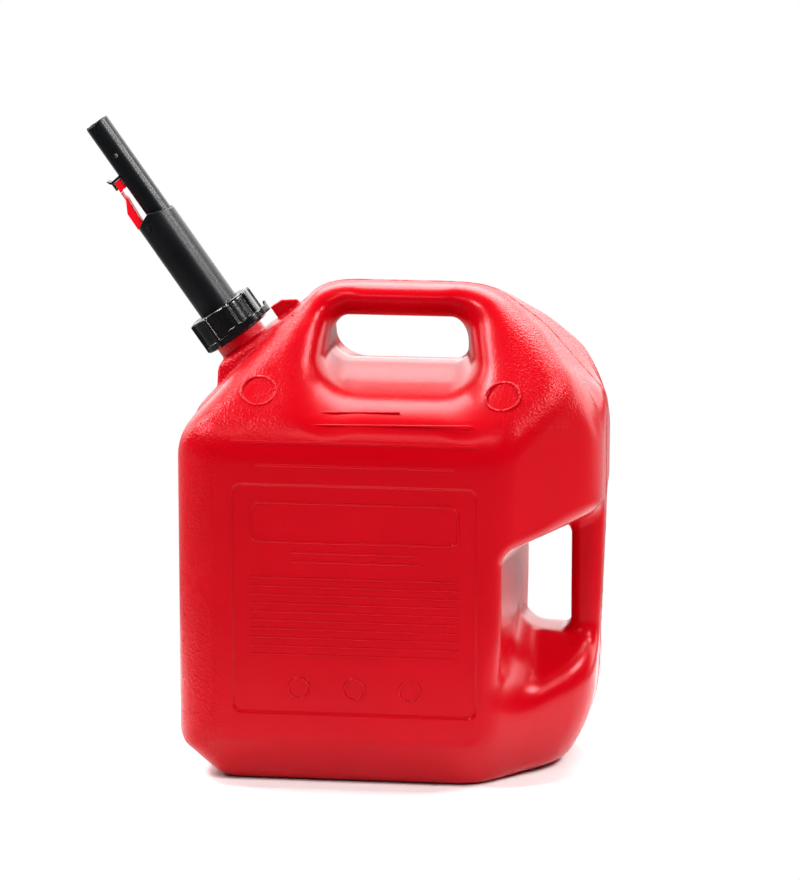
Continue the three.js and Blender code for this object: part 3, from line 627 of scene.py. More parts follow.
def nozzle_field(x, y, z):
    radial = np.hypot(x - NOZZLE_OFFSET, y)
    body = fold(fold(radial - NOZZLE_RADIUS, z - NOZZLE_TIP, 0.5), STOP_FOOT - z, 0.3)
    body = join(body, ring(np.hypot(x, y), z, 0, STOP_RADIUS, STOP_FOOT, STOP_HEAD, 0.3), 0.3)
    hook = plate(x, y, z, nozzle_shares(HOOK_SHARES, HOOK_REACH, HOOK_FOOT, HOOK_RISE), HOOK_HALF, 0.45)
    body = join(body, hook, 0.5)
    bore = fold(radial - NOZZLE_BORE, STOP_HEAD - z, 0.3)
    body = cut(body, bore, 0.35)
    body = cut(body, np.maximum(np.hypot(x, y) - STEM_BORE, z - STOP_HEAD - 1), 0.2)
    notch = fold(fold(x - NOZZLE_OFFSET, y, 0.3), NOZZLE_TIP - NOTCH_DEPTH - z, 0.3)
    body = cut(body, notch, 0.3)
    hole = fold(np.hypot(x - NOZZLE_OFFSET, z - VENT_HOLE) - VENT_HOLE_RADIUS, y, 0.1)
    return cut(body, hole, 0.35)


def vent_field(x, y, z):
    radial = np.hypot(x - NOZZLE_OFFSET, y - VENT_SIDE)
    return ring(radial, z, VENT_BORE, VENT_RADIUS, STOP_HEAD + FIT_GAP, VENT_HEAD, 0.25)


def stem_field(x, y, z):
    body = ring(np.hypot(x, y), z, STEM_BORE, STEM_RADIUS, STEM_FOOT, STOP_FOOT - FIT_GAP, 0.3)
    window = fold(fold(np.abs(x) - WINDOW_HALF, WINDOW_FOOT - z, 1.0), z - WINDOW_HEAD, 1.0)
    return cut(body, window, 0.3)


def plug_field(x, y, z):
    radial = np.hypot(x, y)
    disc = fold(ring(radial, z, 0, PLUG_RADIUS, PLUG_FOOT, PLUG_LEDGE, 0.3), PLUG_FOOT - z, 1.6)
    body = join(disc, ring(radial, z, 0, PLUG_SPIGOT, PLUG_FOOT, PLUG_HEAD, 0.3), 0.3)
    socket = np.maximum(radial - STEM_RADIUS - FIT_GAP, STEM_FOOT - FIT_GAP - z)
    return cut(body, socket, 0.3)


def seal_field(x, y, z):
    return np.hypot(np.hypot(x, y) - SEAL_RADIUS, z - PLUG_HEAD + SEAL_SECTION) - SEAL_SECTION


def lock_plate(x, y, z, shares, radius):
    return plate(x, y, z, nozzle_shares(shares, LOCK_REACH, LOCK_FOOT, LOCK_HEIGHT), LOCK_HALF, radius)


def lock_root_field(x, y, z):
    return lock_plate(x, y, z, LOCK_ROOT_SHARES, 0.35)


def lock_lever_field(x, y, z):
    return lock_plate(x, y, z, LOCK_LEVER_SHARES, 0.45)


# Meshes

def spread(grid, shape):
    """Repeats each block's value over the block's own points."""
    for axis in range(3):
        grid = np.repeat(grid, BLOCK, axis)
    return grid[: shape[0], : shape[1], : shape[2]]


def net(field, low, high, step):
    """Points and four-sided faces on a field's surface, one point in each cell that it crosses."""
    low = np.array(low, float)
    shape = np.ceil((np.array(high, float) - low) / step).astype(int) + 1
    centres = [low[k] + (np.arange(-(-shape[k] // BLOCK)) + 0.5) * BLOCK * step for k in range(3)]
    coarse_points = np.meshgrid(*centres, indexing="ij")
    coarse = field(*[points.ravel() for points in coarse_points]).reshape(coarse_points[0].shape)
    values = spread(coarse, shape).copy()
    near = np.nonzero(spread(np.abs(coarse) < BLOCK * step * BLOCK_REACH, shape))
    values[near] = field(*[low[k] + near[k] * step for k in range(3)])
    inside = values < 0
    quads, places = [], []
    for axis in range(3):
        across, along = (axis + 1) % 3, (axis + 2) % 3
        ahead = np.roll(inside, -1, axis)
        hit = np.argwhere(inside != ahead)
        hit = hit[(hit[:, axis] < shape[axis] - 1) & (hit[:, across] > 0) & (hit[:, along] > 0)]
        nxt = hit.copy()
        nxt[:, axis] += 1
        first, second = values[tuple(hit.T)], values[tuple(nxt.T)]
        place = hit.astype(float)
        place[:, axis] += first / (first - second)
        corners = []
        for back_across, back_along in ((0, 0), (1, 0), (1, 1), (0, 1)):
            cell = hit.copy()
            cell[:, across] -= back_across
            cell[:, along] -= back_along
            corners.append(np.ravel_multi_index(tuple(cell.T), shape))
        quad = np.stack(corners, 1)
        quad[first >= 0] = quad[first >= 0][:, ::-1]
        quads.append(quad)
        places.append(place)
    quads, places = np.concatenate(quads), np.concatenate(places)
    _, faces = np.unique(quads, return_inverse=True)
    faces = faces.reshape(-1, 4)
    count = np.bincount(faces.ravel())
    sums = [np.bincount(faces.ravel(), weights=np.repeat(places[:, k], 4)) for k in range(3)]
    return low + np.stack(sums, 1) / count[:, None] * step, faces


def slope_of(field, points):
    """A field's slope at each point."""
    slopes = np.empty_like(points)
    for k in range(3):
        shift = np.zeros(3)
        shift[k] = SLOPE_STEP
        slopes[:, k] = (field(*(points + shift).T) - field(*(points - shift).T)) / (2 * SLOPE_STEP)
    return slopes


def settle(field, points, step, rounds):
    """Moves points onto a field's surface."""
    for _ in range(rounds):
        slopes = slope_of(field, points)
        steep = np.maximum((slopes ** 2).sum(1), 0.2)
        shift = np.clip(field(*points.T) / steep, -step, step)
        points = points - slopes * shift[:, None]
    return points


def new_mesh(name, points, faces):
    mesh = bpy.data.meshes.new(name)
    sides = faces.shape[1]
    mesh.vertices.add(len(points))
    mesh.vertices.foreach_set("co", np.ascontiguousarray(points, np.float32).ravel())
    mesh.loops.add(faces.size)
    mesh.loops.foreach_set("vertex_index", np.ascontiguousarray(faces, np.int32).ravel())
    mesh.polygons.add(len(faces))
    mesh.polygons.foreach_set("loop_start", np.arange(0, faces.size, sides, dtype=np.int32))
    mesh.update(calc_edges=True)
    mesh.validate()
    return mesh


def new_piece(name, data):
    piece = bpy.data.objects.new(name, data)
    bpy.context.scene.collection.objects.link(piece)
    return piece


def placed(points, place):
    """Points in millimetres, as points in metres at their place in the can."""
    return points @ np.array(place.to_3x3()).T * MM + np.array(place.translation)


def taken_apart(mesh):
    """A mesh's points and triangles. The mesh is deleted."""
    mesh.calc_loop_triangles()
    points = np.empty(len(mesh.vertices) * 3, np.float32)
    mesh.vertices.foreach_get("co", points)
    corners = np.empty(len(mesh.loop_triangles) * 3, np.int32)
    mesh.loop_triangles.foreach_get("vertices", corners)
    bpy.data.meshes.remove(mesh)
    return points.reshape(-1, 3), corners.reshape(-1, 3)


def smooth_piece(name, points, faces):
    mesh = new_mesh(name, points, faces)
    mesh.shade_smooth()
    return new_piece(name, mesh)


def applied(piece):
    """The piece's mesh with its modifiers applied, as a plain mesh. The piece is deleted."""
    graph = bpy.context.evaluated_depsgraph_get()
    mesh = bpy.data.meshes.new_from_object(piece.evaluated_get(graph))
    bpy.data.objects.remove(piece)
    return mesh


def thinned(name, points, faces, triangles):
    """A mesh with fewer triangles, most of them where the surface bends."""
    piece = new_piece(name, new_mesh(name, points, faces))
    thin = piece.modifiers.new("thin", "DECIMATE")
    thin.ratio = triangles / (2 * len(faces))
    thin.use_collapse_triangulate = True
    points, corners = taken_apart(applied(piece))
    return points.astype(float), corners


def moulded(name, field, low, high, step, place=Matrix.Identity(4), triangles=None):
    """A piece whose surface is a field's, with the field's own slope for its normals."""
    points, faces = net(field, low, high, step)
    points = settle(field, points, step / 2, 2)
    if triangles and 2 * len(faces) > triangles:
        points, faces = thinned(name, points, faces, triangles)
        points = settle(field, points, step / 2, 1)
    slopes = slope_of(field, points)
    slopes /= np.maximum(np.linalg.norm(slopes, axis=1, keepdims=True), 1e-6)
    piece = smooth_piece(name, placed(points, place), faces)
    piece.data.normals_split_custom_set_from_vertices((slopes @ np.array(place.to_3x3()).T).tolist())
    return piece


def spring_mesh(name, foot, head):
    """A closed wire on a right-handed helix along the spout's axis."""
    sides = SPRING_SIDES
    turns = np.linspace(0, SPRING_CURLS, SPRING_CURLS * SPRING_STEPS + 1)
    around = np.linspace(0, 2 * math.pi, sides, endpoint=False)
    angle = 2 * math.pi * turns[:, None]
    radial = SPRING_RADIUS + SPRING_WIRE / 2 * np.cos(around)[None, :]
    height = mix(foot, head, turns / SPRING_CURLS)[:, None] + SPRING_WIRE / 2 * np.sin(around)[None, :]
    points = np.stack([radial * np.cos(angle), radial * np.sin(angle), height + 0 * angle], 2).reshape(-1, 3)
    ends = np.array([points[:sides].mean(0), points[-sides:].mean(0)])
    count = len(points)
    faces = []
    for first in range(0, count - sides, sides):
        for j in range(sides):
            a, b = first + j, first + (j + 1) % sides
            faces += [(a, a + sides, b + sides), (a, b + sides, b)]
    for j in range(sides):
        k = (j + 1) % sides
        faces += [(count, j, k), (count + 1, count - sides + k, count - sides + j)]
    return smooth_piece(name, placed(np.concatenate([points, ends]), SPOUT_PLACE), np.array(faces))


# Node trees

class Wire:
    """A socket of a node tree. Sums, products and the like of wires add Math nodes."""

    def __init__(self, tree, socket):
        self.tree = tree
        self.socket = socket

    def math(self, operation, *values):
        return self.tree.node("ShaderNodeMath", {"operation": operation}, dict(enumerate(values)))

    def __add__(self, other):
        return self.math("ADD", self, other)

    __radd__ = __add__

    def __sub__(self, other):
        return self.math("SUBTRACT", self, other)

    def __rsub__(self, other):
        return self.math("SUBTRACT", other, self)

    def __mul__(self, other):
        return self.math("MULTIPLY", self, other)

    __rmul__ = __mul__

    def __truediv__(self, other):
        return self.math("DIVIDE", self, other)

    def __abs__(self):
        return self.math("ABSOLUTE", self)

    def least(self, other):
        return self.math("MINIMUM", self, other)

    def most(self, other):
        return self.math("MAXIMUM", self, other)

    def rise(self, low, high):
        """0 below low, 1 above high, and a smooth step between them."""
        inputs = {"Value": self, "From Min": low, "From Max": high}
        return self.tree.node("ShaderNodeMapRange", {"interpolation_type": "SMOOTHSTEP"}, inputs)

    def within(self, low, high, soft):
        return self.rise(low - soft, low + soft) * (1 - self.rise(high - soft, high + soft))


class Tree:
    """A node tree that is filled by one method."""

    def __init__(self, group):
        self.group = group
        self.nodes = group.nodes
        self.nodes.clear()

    def node(self, kind, settings=None, inputs=None, output=0):
        made = self.nodes.new(kind)
        for name, value in (settings or {}).items():
            setattr(made, name, value)
        for name, value in (inputs or {}).items():
            socket = made.inputs[name]
            if isinstance(value, Wire):
                self.group.links.new(value.socket, socket)
            else:
                socket.default_value = value
        return Wire(self, made.outputs[output]) if len(made.outputs) else made

    def ray(self, kind):
        """1 for rays of one kind and 0 for the others."""
        return self.node("ShaderNodeLightPath", output=f"Is {kind} Ray")

    def mixed(self, share, low, high):
        """A colour between two colours."""
        return self.node("ShaderNodeMix", {"data_type": "RGBA"}, {"Factor": share, 6: low, 7: high}, 2)


# Materials

class Finish(Tree):
    """A material with one principled shader."""

    def __init__(self, name):
        self.material = bpy.data.materials.new(name)
        self.material.use_nodes = True
        super().__init__(self.material.node_tree)
        self.where = self.node("ShaderNodeTexCoord", output="Object")

    def noise(self, scale, detail=2.0, roughness=0.5, where=None):
        inputs = {"Vector": where or self.where, "Scale": scale, "Detail": detail, "Roughness": roughness}
        return self.node("ShaderNodeTexNoise", {}, inputs)

    def drawn_noise(self, scales, detail=2.0, roughness=0.5, turn=(0, 0, 0)):
        """A noise with a scale of its own for each axis, turned to lie along a piece."""
        inputs = {"Vector": self.where, "Scale": scales, "Rotation": turn}
        return self.noise(1.0, detail, roughness, self.node("ShaderNodeMapping", {}, inputs))

    def cells(self, scale):
        inputs = {"Vector": self.where, "Scale": scale, "Smoothness": 0.6}
        return self.node("ShaderNodeTexVoronoi", {"feature": "SMOOTH_F1"}, inputs)

    def axes(self):
        made = self.node("ShaderNodeSeparateXYZ", {}, {"Vector": self.where})
        outputs = made.socket.node.outputs
        return [Wire(self, outputs[k]) for k in range(3)]

    def bump(self, height, distance, strength=1.0, normal=None):
        inputs = {"Height": height, "Distance": distance, "Strength": strength}
        if normal is not None:
            inputs["Normal"] = normal
        return self.node("ShaderNodeBump", {}, inputs)

    def shader(self, **inputs):
        named = {name.replace("_", " "): value for name, value in inputs.items()}
        made = self.node("ShaderNodeBsdfPrincipled", {}, named)
        self.node("ShaderNodeOutputMaterial", {}, {"Surface": made})
        return self.material


def red_plastic():
    """Blow-moulded tank plastic: grained shoulders, smooth panels, streaks where the mould pinched."""
    tree = Finish("red_tank_plastic")
    x, y, z = tree.axes()
    grain_cells = tree.cells(540.0)
    grain_fine = tree.noise(850.0, 2.0, 0.6)
    patchy = tree.noise(16.0, 3.0, 0.6)
    # Where the mould was grained, in metres from the can's middle.
    nose = 1 - x.rise(-0.14, -0.112)
    roof_nose = z.rise(0.258, 0.285) * (1 - x.rise(-0.085, -0.055))
    roof_tail = z.rise(0.262, 0.29) * x.rise(0.072, 0.1) * (1 - x.rise(0.135, 0.155))
    grained = nose.most(roof_nose).most(roof_tail) * patchy.rise(0.22, 0.5) + 0.12
    grain = (grain_cells * 0.7 + grain_fine * 0.5) * grained
    waves = tree.drawn_noise((14.0, 14.0, 6.0), 2.0)
    draw = tree.drawn_noise((420.0, 30.0, 12.0), 3.0, 0.7)
    pinch = z.within(0.292, 0.318, 0.008) * x.within(-0.055, 0.062, 0.01) * (1 - abs(y).rise(0.06, 0.1))
    shoulder = z.within(0.25, 0.285, 0.02) * x.within(-0.1, 0.09, 0.02)
    streaks = draw * (pinch + shoulder * 0.25 + 0.04)
    normal = tree.bump(waves, 0.0016, 0.35)
    # The parting line: a fine groove in the bump, and painted shade along it.
    seam_groove_and_painted_shade = (1 - abs(y).rise(0.0004, 0.0009)) * z.within(0.285, 0.352, 0.004) * x.within(-0.07, 0.075, 0.004)
    normal = tree.bump(grain - seam_groove_and_painted_shade * 1.5, 0.00045, 1.0, normal)
    normal = tree.bump(streaks, 0.0002, 0.8, normal)
    tone = tree.noise(5.0, 4.0, 0.6)
    base = tree.mixed(tone.rise(0.3, 0.7), (0.45, 0.0002, 0.0045, 1), (0.51, 0.0003, 0.0065, 1))
    # Painted shade: the base colour is darkened nearly to black along the parting line.
    base = tree.mixed(seam_groove_and_painted_shade * 0.8, base, (0.08, 0.0002, 0.001, 1))
    worn = tree.drawn_noise((60.0, 60.0, 9.0), 4.0, 0.7)
    rough = 0.2 + grained * 0.06 + worn * 0.06 - pinch * 0.04
    shine = {"IOR": 1.5, "Specular_IOR_Level": 0.5, "Specular_Tint": (1.0, 0.22, 0.25, 1.0)}
    return tree.shader(Base_Color=base, Roughness=rough, Normal=normal, **shine)


def drifting(name, tone, low, high, grit, bump, rough, lines=None, line_depth=0.0, ior=1.5, **more):
    """A plastic or rubber whose tone and gloss drift, with a fine grit and perhaps lines along the spout."""
    tree = Finish(name)
    drift = tree.noise(*tone)
    normal = tree.bump(tree.noise(*grit), *bump)
    if lines:
        drawn = tree.drawn_noise(lines, turn=(0, NECK_TILT, 0))
        normal = tree.bump(drawn, line_depth, 0.5, normal)
    base = tree.mixed(drift, (*low, 1), (*high, 1))
    return tree.shader(Base_Color=base, Roughness=rough[0] + drift * rough[1], Normal=normal, IOR=ior, **more)


def satin_black(name, rough):
    return drifting(
        name, (35.0, 4.0, 0.6), (0.0018, 0.0022, 0.0034), (0.0036, 0.0042, 0.0058), (1500.0, 2.0, 0.6),
        (0.000002, 0.5), (rough, 0.12), (700.0, 700.0, 25.0), 0.000004, 1.48, Specular_IOR_Level=0.45,
    )


def spring_steel():
    tree = Finish("drawn_spring_steel")
    drawn = tree.drawn_noise((1200.0, 1200.0, 1200.0), 3.0)
    tint = tree.noise(150.0, 2.0)
    normal = tree.bump(drawn, 0.00002, 0.6)
    base = tree.mixed(tint, (0.42, 0.42, 0.43, 1), (0.6, 0.6, 0.61, 1))
    return tree.shader(Base_Color=base, Metallic=1.0, Roughness=0.24 + drawn * 0.14, Normal=normal)


# Raised marks and the parting line

def geometry_tree(name, *sizes, counts=()):
    """A geometry tree with a mesh in and out, and one named input for each count, size and material."""
    tree = Tree(bpy.data.node_groups.new(name, "GeometryNodeTree"))
    sockets = tree.group.interface
    sockets.new_socket("Geometry", in_out="OUTPUT", socket_type="NodeSocketGeometry")
    kinds = [(size, "Int") for size in counts] + [(size, "Float") for size in sizes]
    for size, kind in [("Geometry", "Geometry"), *kinds, ("Material", "Material")]:
        sockets.new_socket(size, in_out="INPUT", socket_type="NodeSocket" + kind)
    entry = tree.node("NodeGroupInput").socket.node
    return tree, {socket.name: Wire(tree, socket) for socket in entry.outputs if socket.name}


def finished(tree, wires, shape):
    """The tree, ended with plain geometry and its material."""
    real = tree.node("GeometryNodeRealizeInstances", {}, {"Geometry": shape})
    rounded = tree.node("GeometryNodeSetShadeSmooth", {}, {"Geometry": real})
    painted = tree.node("GeometryNodeSetMaterial", {}, {"Geometry": rounded, "Material": wires["Material"]})
    tree.node("NodeGroupOutput", {}, {"Geometry": painted})
    return tree.group


def raised_line(tree, wires, path, capped):
    """A round line along a path."""
    section = {"Resolution": 10, "Radius": wires["Line"]}
    profile = tree.node("GeometryNodeCurvePrimitiveCircle", {"mode": "RADIUS"}, section)
    shape = {"Curve": path, "Profile Curve": profile, "Fill Caps": capped}
    return tree.node("GeometryNodeCurveToMesh", {}, shape)


def pressed(tree, wires, shape):
    """A raised line squeezed from its own width to its height."""
    share = wires["Height"] / wires["Line"]
    squeeze = tree.node("ShaderNodeCombineXYZ", {}, {"X": 1.0, "Y": 1.0, "Z": share})
    return tree.node("GeometryNodeTransform", {}, {"Geometry": shape, "Scale": squeeze})


def rib_rows_tree():
    """Straight raised ribs, one above the other, with rounded ends."""
    tree, wires = geometry_tree("rib_rows", "Spacing", "Length", "Line", "Height", counts=["Rows"])
    half = wires["Length"] * 0.5
    start = tree.node("ShaderNodeCombineXYZ", {}, {"X": half * -1.0})
    end = tree.node("ShaderNodeCombineXYZ", {}, {"X": half})
    line = tree.node("GeometryNodeCurvePrimitiveLine", {"mode": "POINTS"}, {"Start": start, "End": end})
    line = tree.node("GeometryNodeResampleCurve", {}, {"Curve": line, "Count": 33})
    share = tree.node("GeometryNodeSplineParameter")
    eased = share
    for _ in range(2):
        eased = 0.5 - 0.5 * share.math("COSINE", eased * math.pi)
    spot = tree.node("ShaderNodeCombineXYZ", {}, {"X": (eased - 0.5) * wires["Length"]})
    line = tree.node("GeometryNodeSetPosition", {}, {"Geometry": line, "Position": spot})
    to_end = (0.5 - abs(eased - 0.5)) * wires["Length"] / wires["Line"]
    inner = 1 - to_end.least(1.0)
    taper = share.math("SQRT", 1 - inner * inner)
    line = tree.node("GeometryNodeSetCurveRadius", {}, {"Curve": line, "Radius": taper.most(0.02)})
    rib = pressed(tree, wires, raised_line(tree, wires, line, True))
    shift = tree.node("ShaderNodeCombineXYZ", {}, {"Y": wires["Spacing"]})
    rows = tree.node("GeometryNodeMeshLine", {"mode": "OFFSET"}, {"Count": wires["Rows"], "Offset": shift})
    ribs = tree.node("GeometryNodeInstanceOnPoints", {}, {"Points": rows, "Instance": rib})
    return finished(tree, wires, ribs)


def frame_tree():
    """A raised line round a blank field with rounded corners."""
    tree, wires = geometry_tree("raised_frame", "Width", "Tall", "Corner", "Line", "Height")
    border = tree.node("GeometryNodeCurvePrimitiveQuadrilateral", {"mode": "RECTANGLE"}, {
        "Width": wires["Width"], "Height": wires["Tall"],
    })
    border = tree.node("GeometryNodeFilletCurve", {"mode": "POLY"}, {
        "Curve": border, "Count": 12, "Radius": wires["Corner"], "Limit Radius": True,
    })
    return finished(tree, wires, pressed(tree, wires, raised_line(tree, wires, border, False)))


def parting_tree():
    """A fine raised line that follows the piece's own edges."""
    tree, wires = geometry_tree("parting_line", "Line")
    path = tree.node("GeometryNodeMeshToCurve", {}, {"Mesh": wires["Geometry"]})
    return finished(tree, wires, raised_line(tree, wires, path, True))


def grown(group, start_mesh, **sizes):
    """The plain mesh that a geometry tree makes with these sizes."""
    holder = new_piece("holder", start_mesh)
    modifier = holder.modifiers.new("grow", "NODES")
    modifier.node_group = group
    names = {item.name: item.identifier for item in group.interface.items_tree if item.in_out == "INPUT"}
    for name, value in sizes.items():
        modifier[names[name]] = value
    return applied(holder)


def gathered(name, meshes):
    """One piece from several meshes, which share their material."""
    points, faces, first = [], [], 0
    for mesh in meshes:
        places, corners = taken_apart(mesh)
        points.append(places)
        faces.append(corners + first)
        first += len(places)
    return smooth_piece(name, np.concatenate(points), np.concatenate(faces))


def skin_spot(x, z, side):
    """The point of the tank's skin at a length and height on one side, and its outward normal."""
    inside = lambda y: closed_tank(np.array([x]), np.array([y]), np.array([z]))[0] < 0
    ways = np.linspace(side * (HALF_WIDTH + 15), 0, 60)
    first = next((i for i, y in enumerate(ways) if inside(y)), len(ways) - 1)
    near, far = ways[first - 1], ways[first]
    for _ in range(24):
        y = (near + far) / 2
        if inside(y):
            far = y
        else:
            near = y
    spot = np.array([[x, y, z]])
    slope = slope_of(closed_tank, spot)[0]
    return Vector(spot[0]) * MM, Vector(slope).normalized()


def on_skin(mesh, x, z, side, sink):
    """Moves a flat mesh onto the tank's skin, its own Y axis up the skin, and sinks it a little."""
    spot, out = skin_spot(x, z, side)
    along = Vector((-side, 0, 0))
    along = (along - out * along.dot(out)).normalized()
    up = out.cross(along)
    place = Matrix((along, up, out)).transposed().to_4x4()
    place.translation = spot - out * sink * MM
    mesh.transform(place)
    return mesh


def raised_marks(name, side, material):
    """Plain ribs, a blank frame and blank rings on one side of the tank."""
    rows, border = rib_rows_tree(), frame_tree()
    meshes = []

    def mark(group, x, z, sink, line=RIB_LINE, **sizes):
        start = bpy.data.meshes.new("start")
        made = grown(group, start, Line=line, Height=RIB_HEIGHT, Material=material, **sizes)
        meshes.append(on_skin(made, x, z, side, sink))

    def blank_ring(x, z, sink, size):
        mark(border, x, z, sink, Width=size, Tall=size, Corner=size / 2)

    mark(border, PANEL_MIDDLE, 206.0, PANEL_SINK, Width=0.156, Tall=0.03, Corner=0.006)
    mark(rows, PANEL_MIDDLE, 176.0, PANEL_SINK, Rows=2, Spacing=0.007, Length=0.096)
    mark(rows, PANEL_MIDDLE, 104.0, PANEL_SINK, RIB_FINE, Rows=10, Spacing=0.0066, Length=0.158)
    for i in (-1, 0, 1):
        blank_ring(PANEL_MIDDLE + i * RING_PITCH, 78.0, PANEL_SINK, RING_SIZE)
    for z, length, line in SHOULDER_RIBS:
        mark(rows, PANEL_MIDDLE, z, SKIN_SINK, line, Rows=1, Spacing=0.0, Length=length)
    for x in (-96.0, 88.0):
        blank_ring(x, 300.0, SKIN_SINK, ROUND_SIZE)
    return gathered(name, meshes)


def parting_line(name, material):
    """The line where the mould's halves met, over the nose, the ridge and the tail."""
    reach = np.arange(60.0, 260.0, 0.25)
    points = []
    for angle in np.radians(np.arange(-62.0, 241.0, 1.0)):
        x = math.cos(angle) * reach
        z = TANK_HEIGHT / 2 + math.sin(angle) * reach
        last = np.nonzero(closed_tank(x, 0 * x, z) < 0)[0][-1]
        points.append((x[last], 0.0, z[last]))
    points = np.array(points)
    out, up = neck_axes(points[:, 0], points[:, 2])
    keep = ~((np.abs(out) < NECK_CLEAR) & (up > -NECK_CLEAR_DEPTH))
    edges = [(i, i + 1) for i in range(len(points) - 1) if keep[i] and keep[i + 1]]
    mesh = bpy.data.meshes.new("path")
    mesh.from_pydata((points * MM).tolist(), edges, [])
    return gathered(name, [grown(parting_tree(), mesh, Line=PARTING_LINE, Material=material)])


# The can

# Each finish with its slot in the record.
RED = red_plastic(), "red_tank"
GLOSS = drifting(
    "gloss_black_plastic", (60.0, 4.0, 0.65), (0.0035, 0.0035, 0.004), (0.008, 0.008, 0.0088), (110.0, 1.0),
    (0.0001, 0.5), (0.1, 0.12), (900.0, 900.0, 120.0), 0.000003,
), "black_gloss"
SATIN = satin_black("satin_black_plastic", 0.3), "black_satin"
SLEEK = satin_black("satin_black_tube", 0.27), "black_satin"
LOCK = drifting(
    "red_lock_plastic", (90.0, 3.0), (0.72, 0.001, 0.008), (0.80, 0.002, 0.012), (1100.0, 2.0),
    (0.000006, 0.6), (0.34, 0.14), Specular_IOR_Level=0.25, Specular_Tint=(1.0, 0.3, 0.33, 1.0),
), "red_lock"
WHITE = drifting(
    "natural_white_plastic", (120.0, 3.0), (0.62, 0.62, 0.57), (0.72, 0.72, 0.68), (900.0, 2.0),
    (0.00005, 0.5), (0.4, 0.12),
), "natural_white"
RUBBER = drifting(
    "fuel_proof_rubber", (300.0, 4.0), (0.009, 0.009, 0.0095), (0.02, 0.02, 0.021), (2200.0, 2.0),
    (0.00004, 0.8), (0.62, 0.2),
), "seal_rubber"
STEEL = spring_steel(), "spring_steel"

# Spout pieces: name, field, its lowest and highest corner, mesh step, finish, body and CAD node.
SPOUT_PIECES = (
    ("screw_collar", collar_field, (-29, -35, 7), (35, 29, 36), TUBE_STEP, GLOSS, "collar", "collar"),
    ("outer_sleeve", sleeve_field, (-23, -23, 28), (23, 23, 126), TUBE_STEP, SATIN, "spout", "outer_tube"),
    ("sleeve_bush", bush_field, (-18, -18, 95), (18, 18, 119), SMALL_STEP, SATIN, "spout", "guide_bush"),
    ("flat_gasket", gasket_field, (-21, -21, 26), (21, 21, 31), SMALL_STEP, RUBBER, "spout", "neck_gasket"),
    ("pouring_tube", nozzle_field, (-17, -16, 92), (16, 16, 205), TUBE_STEP, SLEEK, "nozzle", "nozzle_tube"),
    ("air_tube", vent_field, (1, -9, 95), (9, -1, 180), SMALL_STEP, WHITE, "nozzle", "vent_tube"),
    ("plug_stem", stem_field, (-8, -8, 22), (8, 8, 95), SMALL_STEP, WHITE, "nozzle", "valve_stem"),
    ("plug_disc", plug_field, (-14, -14, 20), (14, 14, 31), SMALL_STEP, WHITE, "nozzle", "valve_plug"),
    ("plug_seal", seal_field, (-13, -13, 25), (13, 13, 31), SMALL_STEP, RUBBER, "nozzle", "valve_seal"),
    ("lock_base", lock_root_field, (-13, -6, 145), (-2, 6, 160), SMALL_STEP, LOCK, "nozzle", "lock_root"),
    ("lock_thumb", lock_lever_field, (-19, -6, 115), (-6, 6, 151), SMALL_STEP, LOCK, "lock", "lock_lever"),
)


def dress(piece, finish, body, *nodes):
    """Gives a piece its finish and body, and hides the nodes that it stands for."""
    material, slot = finish
    piece.data.materials.append(material)
    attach(piece, body)
    if nodes:
        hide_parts(*nodes)


def make_tank():
    low = (-NOSE_REACH - MARGIN - 2, -HALF_WIDTH - MARGIN, -MARGIN)
    high = (TAIL_REACH + MARGIN, HALF_WIDTH + MARGIN, TANK_HEIGHT + MARGIN)
    shell = moulded("tank_shell", tank_field, low, high, TANK_STEP, triangles=TANK_TRIANGLES)
    dress(shell, RED, "tank", "tank")
    helix = moulded("neck_thread", neck_thread_field, (-23, -23, 9), (23, 23, 28), TUBE_STEP, SPOUT_PLACE)
    dress(helix, RED, "tank")
    for name, side in (("raised_marks_near", -1), ("raised_marks_far", 1)):
        dress(raised_marks(name, side, RED[0]), RED, "tank")
    dress(parting_line("parting_ridge", RED[0]), RED, "tank")


def make_spout():
    for name, field, low, high, step, finish, body, node in SPOUT_PIECES:
        dress(moulded(name, field, low, high, step, SPOUT_PLACE), finish, body, node)


def make_spring():
    foot = FLANGE_HEAD + FIT_GAP + SPRING_WIRE / 2
    head = STOP_FOOT - FIT_GAP - SPRING_WIRE / 2
    spring = spring_mesh("valve_spring", foot, head)
    dress(spring, STEEL, "spout", "return_spring")
    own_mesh(spring)


# Stage, light and camera

def aim(thing, place, back):
    """Puts a camera or lamp at its place, with its back turned one way."""
    thing.location = place
    thing.rotation_mode = "QUATERNION"
    thing.rotation_quaternion = back.to_track_quat("Z", "Y")


def make_camera():
    azimuth, elevation = math.radians(CAMERA_AZIMUTH), math.radians(CAMERA_ELEVATION)
    level = math.cos(elevation)
    back = Vector((math.sin(azimuth) * level, -math.cos(azimuth) * level, math.sin(elevation)))
    data = bpy.data.cameras.new("photo_camera")
    data.lens = CAMERA_LENS
    data.sensor_width = CAMERA_SENSOR
    data.clip_end = 50.0
    camera = new_piece("photo_camera", data)
    aim(camera, CAMERA_TARGET + back * CAMERA_DISTANCE, back)
    bpy.context.scene.camera = camera


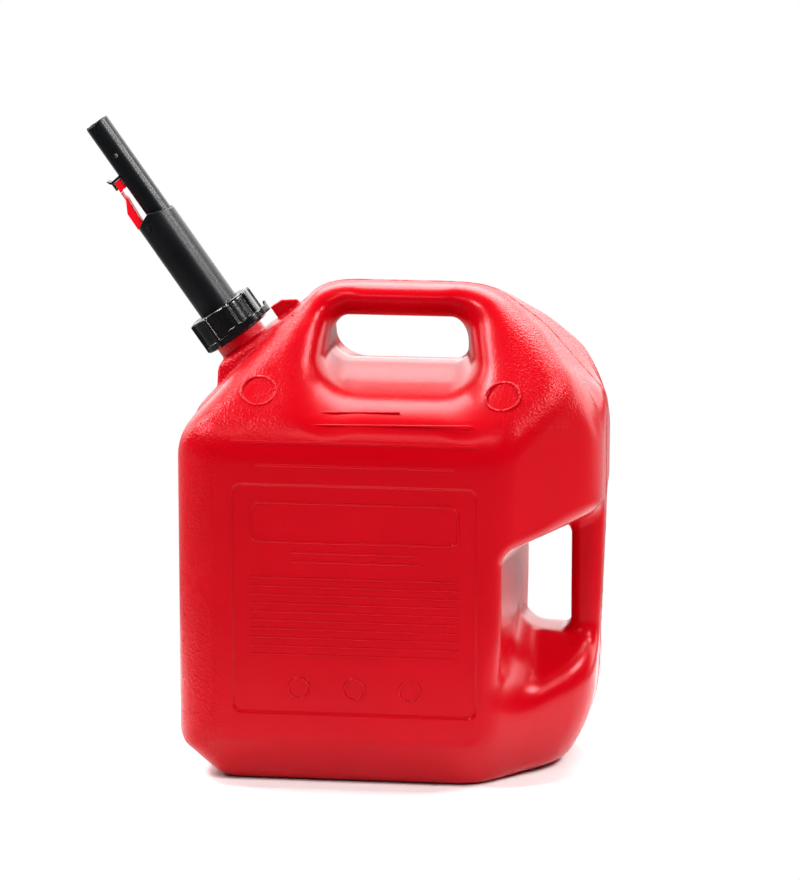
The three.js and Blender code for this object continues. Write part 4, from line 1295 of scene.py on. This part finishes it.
def soft_box(name, place, width, height, power):
    data = bpy.data.lights.new(name, "AREA")
    data.shape = "RECTANGLE"
    data.size = width
    data.size_y = height
    data.energy = power
    aim(new_piece(name, data), place, Vector(place) - LAMP_TARGET)


def make_light():
    for lamp in LAMPS:
        soft_box(*lamp)
    world = bpy.data.worlds.new("pale_room")
    world.use_nodes = True
    tree = Tree(world.node_tree)
    seen = tree.ray("Camera")
    glossy = tree.ray("Glossy").most(tree.ray("Transmission"))
    way = tree.node("ShaderNodeTexCoord", output="Generated")
    back = tree.node("ShaderNodeSeparateXYZ", {}, {"Vector": way}, output=1)
    mirrored = ROOM_DARK + back.rise(0.25, 0.85) * ROOM_BACK
    level = seen + (1 - seen) * (glossy * mirrored + (1 - glossy) * ROOM_LIGHT)
    room = tree.node("ShaderNodeBackground", {}, {"Color": (1, 1, 1, 1), "Strength": level})
    tree.node("ShaderNodeOutputWorld", {}, {"Surface": room})
    bpy.context.scene.world = world


def make_floor():
    """A pale floor that keeps the can's shadow and turns white away from it."""
    tree = Finish("pale_floor")
    x, y, _ = tree.axes()
    beyond = (abs(x) - SHADOW_LENGTH).most(0.0)
    before = (abs(y) - SHADOW_WIDTH).most(0.0)
    away = x.math("SQRT", beyond * beyond + before * before)
    seen = tree.ray("Camera") * away.rise(0.0, 0.06)
    far = away.rise(0.12, 0.4) * (0.96 - y.rise(0.1, 0.8) * 0.25)
    pale = FLOOR_TONE - tree.ray("Glossy") * far * FLOOR_TONE
    matt = tree.node("ShaderNodeBsdfDiffuse", {}, {"Color": pale})
    white = tree.node("ShaderNodeEmission", {}, {"Color": (1, 1, 1, 1), "Strength": 1.0})
    shown = tree.node("ShaderNodeMixShader", {}, {0: seen, 1: matt, 2: white})
    tree.node("ShaderNodeOutputMaterial", {}, {"Surface": shown})
    corners = FLOOR_HALF * np.array([(-1, -1, 0), (1, -1, 0), (1, 1, 0), (-1, 1, 0)])
    floor = new_piece("floor", new_mesh("floor", corners, np.array([[0, 1, 2, 3]])))
    floor.data.materials.append(tree.material)
    floor.location.z = -FLOOR_DROP


make_camera()
make_tank()
make_spout()
make_spring()
make_floor()
make_light()

bpy.context.scene.view_settings.view_transform = "Standard"
